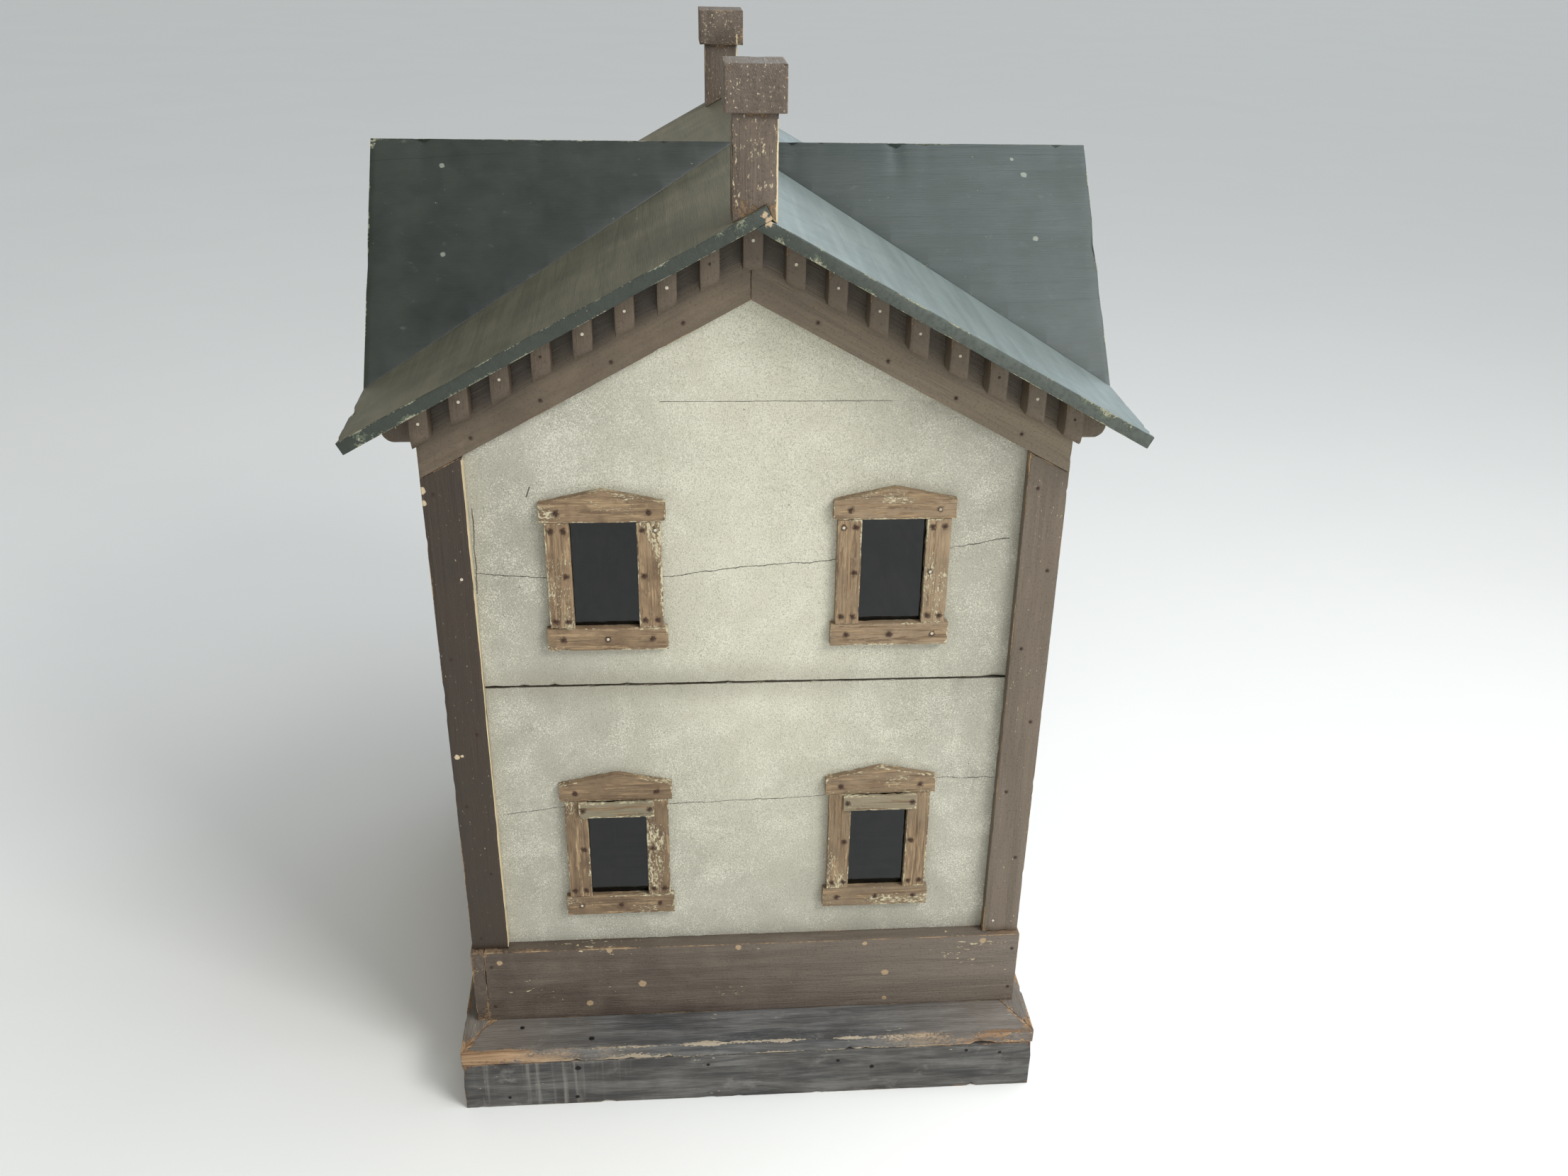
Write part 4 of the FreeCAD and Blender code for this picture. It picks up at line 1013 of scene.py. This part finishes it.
# %% Wear the window trim
MOULDING_STYLE = dict(round=0.0005, grid=(0.004, 0.004), nicks=120, dent=0.0013, depth=0.0028)
MOULDING_STYLE["nails"] = True
for row in ("lower", "upper"):
    for side in ("left", "right"):
        node = f"window_frame_{row}_{side}"
        worn_piece(node, window_trim, MOULDING_STYLE)
worn_piece("window_strips", strip_trim, MOULDING_STYLE)
SIDE_MOULDING = dict(MOULDING_STYLE, grid=(0.008, 0.006), nails=False)
worn_piece("side_window_frames", window_trim, SIDE_MOULDING)

# %% [markdown]
# ## Roof, chimneys and base
# The roof boards are long and thin, with a few big chips on their lower
# edges. Where two slopes meet in a valley nothing can knock them, so that line
# stays true. The base boards carry the deepest damage of all.

# %% Wear the roof and the chimneys
ROOF_STYLE = dict(round=0.0006, grid=(0.006, 0.03), nicks=95, dent=0.0026, depth=0.0034)
ROOF_STYLE.update(warp=0.00003, level=True, sheltered=near_valley)
for side, slope_paint in (("left", left_slope_paint), ("right", right_slope_paint)):
    worn_piece("front_roof_" + side, slope_paint, ROOF_STYLE)
    worn_piece("rear_roof_" + side, slope_paint, ROOF_STYLE)
    worn_piece("side_roof_" + side, main_roof_paint, ROOF_STYLE)
CHIMNEY_STYLE = dict(MOULDING_STYLE, round=0.0008, dent=0.0028)
for end in ("front", "rear"):
    for part in ("stack", "cap"):
        worn_piece(f"{end}_chimney_{part}", chimney_trim, CHIMNEY_STYLE)

# %% Wear the base and the ledge
BASE_STYLE = dict(round=0.0009, grid=(0.006, 0.010), nicks=60, dent=0.0044, depth=0.005)
for part in ("front_board", "rear_board", "side_boards"):
    worn_piece("base_" + part, base_paint, BASE_STYLE)
    worn_piece("ledge_" + part, ledge_paint, BASE_STYLE)
PINE_STYLE = dict(round=0.0006, grid=(0.05, 0.05), nicks=50, dent=0.0008, depth=0.003)
for node in ("ground_floor", "upper_floor", "attic_floor", "ground_partition", "upper_partition"):
    worn_piece(node, bare_pine, PINE_STYLE)

# %% [markdown]
# ## Rows of brackets
# Small brackets stand in rows under the eaves and up the gables. A row repeats
# one shape at one step, which is exactly what Geometry Nodes do well: a line of
# points, an instance on each, and a slight turn so that no two stand alike.
# The first bracket of each row is worn like any board and the tree copies it.
# A side of the house has five rows: two level ones, two sloping ones, and the
# single bracket at the peak. The front and the back have no level rows.


# %% Bracket row tree
def geometry_tree(title, inputs):
    """A Geometry Nodes tree with named inputs, and a way to add its nodes."""
    tree = bpy.data.node_groups.new(title, "GeometryNodeTree")
    for name, (kind, value) in {"Geometry": ("Geometry", None), **inputs}.items():
        kind = "NodeSocket" + kind
        socket = tree.interface.new_socket(name=name, in_out="INPUT", socket_type=kind)
        if value is not None:
            socket.default_value = value
    tree.interface.new_socket(name="Geometry", in_out="OUTPUT", socket_type="NodeSocketGeometry")

    def add(kind, values=(), **settings):
        made = tree.nodes.new(kind)
        for key, value in settings.items():
            setattr(made, key, value)
        for key, value in dict(values).items():
            made.inputs[key].default_value = value
        return made

    return tree, add, add("NodeGroupInput")


def wire(tree, *links):
    """Join sockets; each link is a node, its output, a node and its input."""
    for start, leaves, end, enters in links:
        tree.links.new(start.outputs[leaves], end.inputs[enters])


def finish_copies(tree, add, into, copies, paint):
    """Give every copy a random tone, make the copies real and paint them."""
    shade = add("FunctionNodeRandomValue")
    kind = {"domain": "INSTANCE", "data_type": "FLOAT"}
    store = add("GeometryNodeStoreNamedAttribute", {"Name": "tone"}, **kind)
    real = add("GeometryNodeRealizeInstances")
    coat = add("GeometryNodeSetMaterial")
    wire(
        tree,
        (copies, "Instances", store, "Geometry"),
        (into, "Seed", shade, "Seed"),
        (shade, 1, store, "Value"),
        (store, "Geometry", real, "Geometry"),
        (real, "Geometry", coat, "Geometry"),
        (into, paint, coat, "Material"),
        (coat, "Geometry", add("NodeGroupOutput"), "Geometry"),
    )
    print("tree:", tree.name, len(tree.nodes), "nodes")


BRACKET_KNOBS = {
    "Bracket": ("Object", None),
    "Count": ("Int", 8),
    "Step": ("Vector", (0.037, 0, 0)),
    "Middle": ("Vector", (0, 0, 0)),
    "Lean": ("Float", 0.006),
    "Seed": ("Int", 3),
    "Paint": ("Material", None),
}
bracket_tree, add, into = geometry_tree("Bracket Row", BRACKET_KNOBS)
row = add("GeometryNodeMeshLine")
source = add("GeometryNodeObjectInfo")
shifted = add("GeometryNodeTransform")
minus = add("ShaderNodeVectorMath", {"Scale": -1.0}, operation="SCALE")
lean = add("FunctionNodeRandomValue", data_type="FLOAT_VECTOR")
least = add("ShaderNodeCombineXYZ")
most = add("ShaderNodeCombineXYZ")
flip = add("ShaderNodeMath", {1: -1.0}, operation="MULTIPLY")
copies = add("GeometryNodeInstanceOnPoints")
wire(
    bracket_tree,
    (into, "Count", row, "Count"),
    (into, "Middle", row, "Start Location"),
    (into, "Step", row, "Offset"),
    (into, "Bracket", source, "Object"),
    (into, "Middle", minus, 0),
    (minus, 0, shifted, "Translation"),
    (source, "Geometry", shifted, "Geometry"),
    (into, "Lean", flip, 0),
    (flip, 0, least, "Y"),
    (into, "Lean", most, "Y"),
    (least, 0, lean, "Min"),
    (most, 0, lean, "Max"),
    (into, "Seed", lean, "Seed"),
    (row, "Mesh", copies, "Points"),
    (shifted, "Geometry", copies, "Instance"),
    (lean, "Value", copies, "Rotation"),
)
finish_copies(bracket_tree, add, into, copies, "Paint")


# %% Run a tree into a plain mesh
def grown_mesh(name, tree, start, values):
    """Run a tree on a start mesh and return the result as a plain mesh."""
    holder = bpy.data.objects.new(name + "_holder", start)
    bpy.context.scene.collection.objects.link(holder)
    modifier = holder.modifiers.new(tree.name, "NODES")
    modifier.node_group = tree
    sockets = {s.name: s.identifier for s in tree.interface.items_tree if s.in_out == "INPUT"}
    for key, value in values.items():
        modifier[sockets[key]] = value
    bpy.context.view_layer.update()
    graph = bpy.context.evaluated_depsgraph_get()
    seen = holder.evaluated_get(graph)
    mesh = bpy.data.meshes.new_from_object(seen, preserve_all_data_layers=True, depsgraph=graph)
    mesh.name = name
    holder.modifiers.remove(modifier)
    bpy.data.objects.remove(holder)
    return mesh


BRACKET_STYLE = dict(MOULDING_STYLE, grid=(0.006, 0.006), round=0.0008, dent=0.0010)


def bracket_row(name, boards, seed):
    """One evenly spaced row as a plain mesh, from its first bracket."""
    first, last = middle_of(boards[0]), middle_of(boards[-1])
    worn = fill_mesh("one_bracket", [wear_board(boards[0], BRACKET_STYLE, seed)])
    worn.attributes.remove(worn.attributes["tone"])
    smooth_faces(worn, 0.7)
    model = bpy.data.objects.new("bracket_model", worn)
    bpy.context.scene.collection.objects.link(model)
    values = {"Bracket": model, "Count": len(boards), "Middle": first}
    values.update({"Step": (last - first) / max(1, len(boards) - 1), "Seed": seed})
    values.update({"Paint": bracket_paint, "Lean": 0.006})
    mesh = grown_mesh(name, bracket_tree, bpy.data.meshes.new(name + "_seed"), values)
    bpy.data.objects.remove(model)
    return mesh


def join_meshes(name, meshes):
    """Several meshes as one, with their attributes kept."""
    bm = bmesh.new()
    for mesh in meshes:
        bm.from_mesh(mesh)
    joined = bpy.data.meshes.new(name)
    bm.to_mesh(joined)
    bm.free()
    return joined


# %% Grow the brackets
EAVE_BRACKETS = 4
for face in ("front", "rear", "left", "right"):
    node = face + "_brackets"
    axis = 0 if face in ("front", "rear") else 1
    boards = sorted(boards_of(node), key=lambda board: middle_of(board)[axis])
    half = len(boards) // 2
    eave = EAVE_BRACKETS if axis else 0
    ends = (0, eave, half, half + 1, len(boards) - eave, len(boards))
    rows = [boards[low:high] for low, high in zip(ends, ends[1:]) if high > low]
    meshes = [bracket_row(f"{node}_{i}", row, 5 + i) for i, row in enumerate(rows)]
    mesh = join_meshes(node + "_worn", meshes)
    show(node + "_worn", mesh, bracket_paint, "house", [node])
    print(f"{node}: {[len(row) for row in rows]} brackets, {len(mesh.polygons)} faces")

# %% [markdown]
# ## Nails
# Dozens of small nails hold the trim. Each is one point with a direction, and a
# tree puts a hammered head on it: a low drum whose top is drawn in, turned to
# face that direction and sized a little differently each time. A few heads were
# touched with pale paint, which a random value decides.

# %% Nail tree
NAIL_KNOBS = {
    "Head Radius": ("Float", 0.0016),
    "Head Height": ("Float", 0.0006),
    "Smallest": ("Float", 0.78),
    "Seed": ("Int", 11),
    "Metal": ("Material", None),
}
nail_tree, add, into = geometry_tree("Nail Heads", NAIL_KNOBS)
drum = add("GeometryNodeMeshCylinder", {"Vertices": 12, "Fill Segments": 2})
place = add("GeometryNodeInputPosition")
parts = add("ShaderNodeSeparateXYZ")
top = add("ShaderNodeMath", {1: 0.0}, operation="GREATER_THAN")
draw_in = add("GeometryNodeSetPosition")
shrink = add("ShaderNodeVectorMath", {1: (0.80, 0.80, 1.0)}, operation="MULTIPLY")
facing = add("GeometryNodeInputNamedAttribute", {"Name": "facing"}, data_type="FLOAT_VECTOR")
aim = add("FunctionNodeAlignRotationToVector", axis="Z")
heads = add("GeometryNodeInstanceOnPoints")
sizes = add("FunctionNodeRandomValue", {3: 1.0})
wire(
    nail_tree,
    (into, "Head Radius", drum, "Radius"),
    (into, "Head Height", drum, "Depth"),
    (drum, "Mesh", draw_in, "Geometry"),
    (place, 0, parts, 0),
    (parts, "Z", top, 0),
    (top, 0, draw_in, "Selection"),
    (place, 0, shrink, 0),
    (shrink, 0, draw_in, "Position"),
    (facing, "Attribute", aim, "Vector"),
    (into, "Geometry", heads, "Points"),
    (draw_in, "Geometry", heads, "Instance"),
    (aim, "Rotation", heads, "Rotation"),
    (into, "Smallest", sizes, 2),
    (into, "Seed", sizes, "Seed"),
    (sizes, 1, heads, "Scale"),
)
finish_copies(nail_tree, add, into, heads, "Metal")

# %% Grow the nails
points = bpy.data.meshes.new("nail_points")
points.from_pydata([tuple(place) for place in nail_places], [], [])
made = points.attributes.new("facing", "FLOAT_VECTOR", "POINT")
made.data.foreach_set("vector", [c for _ in nail_places for c in (0.0, -1.0, 0.0)])
mesh = grown_mesh("trim_nails_worn", nail_tree, points, {"Metal": iron_nail})
show("trim_nails_worn", mesh, iron_nail, "house", ["trim_nails"])
print("nail faces:", len(mesh.polygons))

# %% [markdown]
# ## Pieces that keep their CAD shape
# The panes, hinges, pins and the turn button are already right in CAD. They
# only take new finishes, through the material slots of their own objects.

# %% Finish the small CAD pieces
KEPT = (
    ("window_panes", window_glass),
    ("door_hinge_leaves_left door_hinge_leaves_right frame_hinge_leaves", hinge_brass),
    ("hinge_pins turn_button_screw", iron_nail),
    ("turn_button door_knob_left door_knob_right", knob_wood),
)
for nodes, material in KEPT:
    for node in nodes.split():
        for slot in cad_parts[node].material_slots:
            slot.material = material
print("refinished CAD nodes:", sum(len(nodes.split()) for nodes, _ in KEPT))

# %% [markdown]
# ## The studio floor
# A pale floor far larger than the house catches its soft shadow. Faint noise in
# its roughness keeps it from looking like plastic.

# %% Floor
floor_finish = Finish("studio_floor")
soft = floor_finish.grime(0.6, 0.4)
floor_finish.start(soft, (238, 238, 236), (244, 244, 242))
floor_finish.done(floor_finish.spread(soft, 0.75, 0.9))
floor_mesh = bpy.data.meshes.new("studio_floor")
FLOOR_HALF = 45.0
corners = [(x * FLOOR_HALF, y * FLOOR_HALF, 0) for x, y in ((-1, -1), (1, -1), (1, 1), (-1, 1))]
floor_mesh.from_pydata(corners, [], [(0, 1, 2, 3)])
floor_mesh.materials.append(floor_finish.material)
floor = bpy.data.objects.new("studio_floor", floor_mesh)
bpy.context.scene.collection.objects.link(floor)
print("floor half width in metres:", FLOOR_HALF)
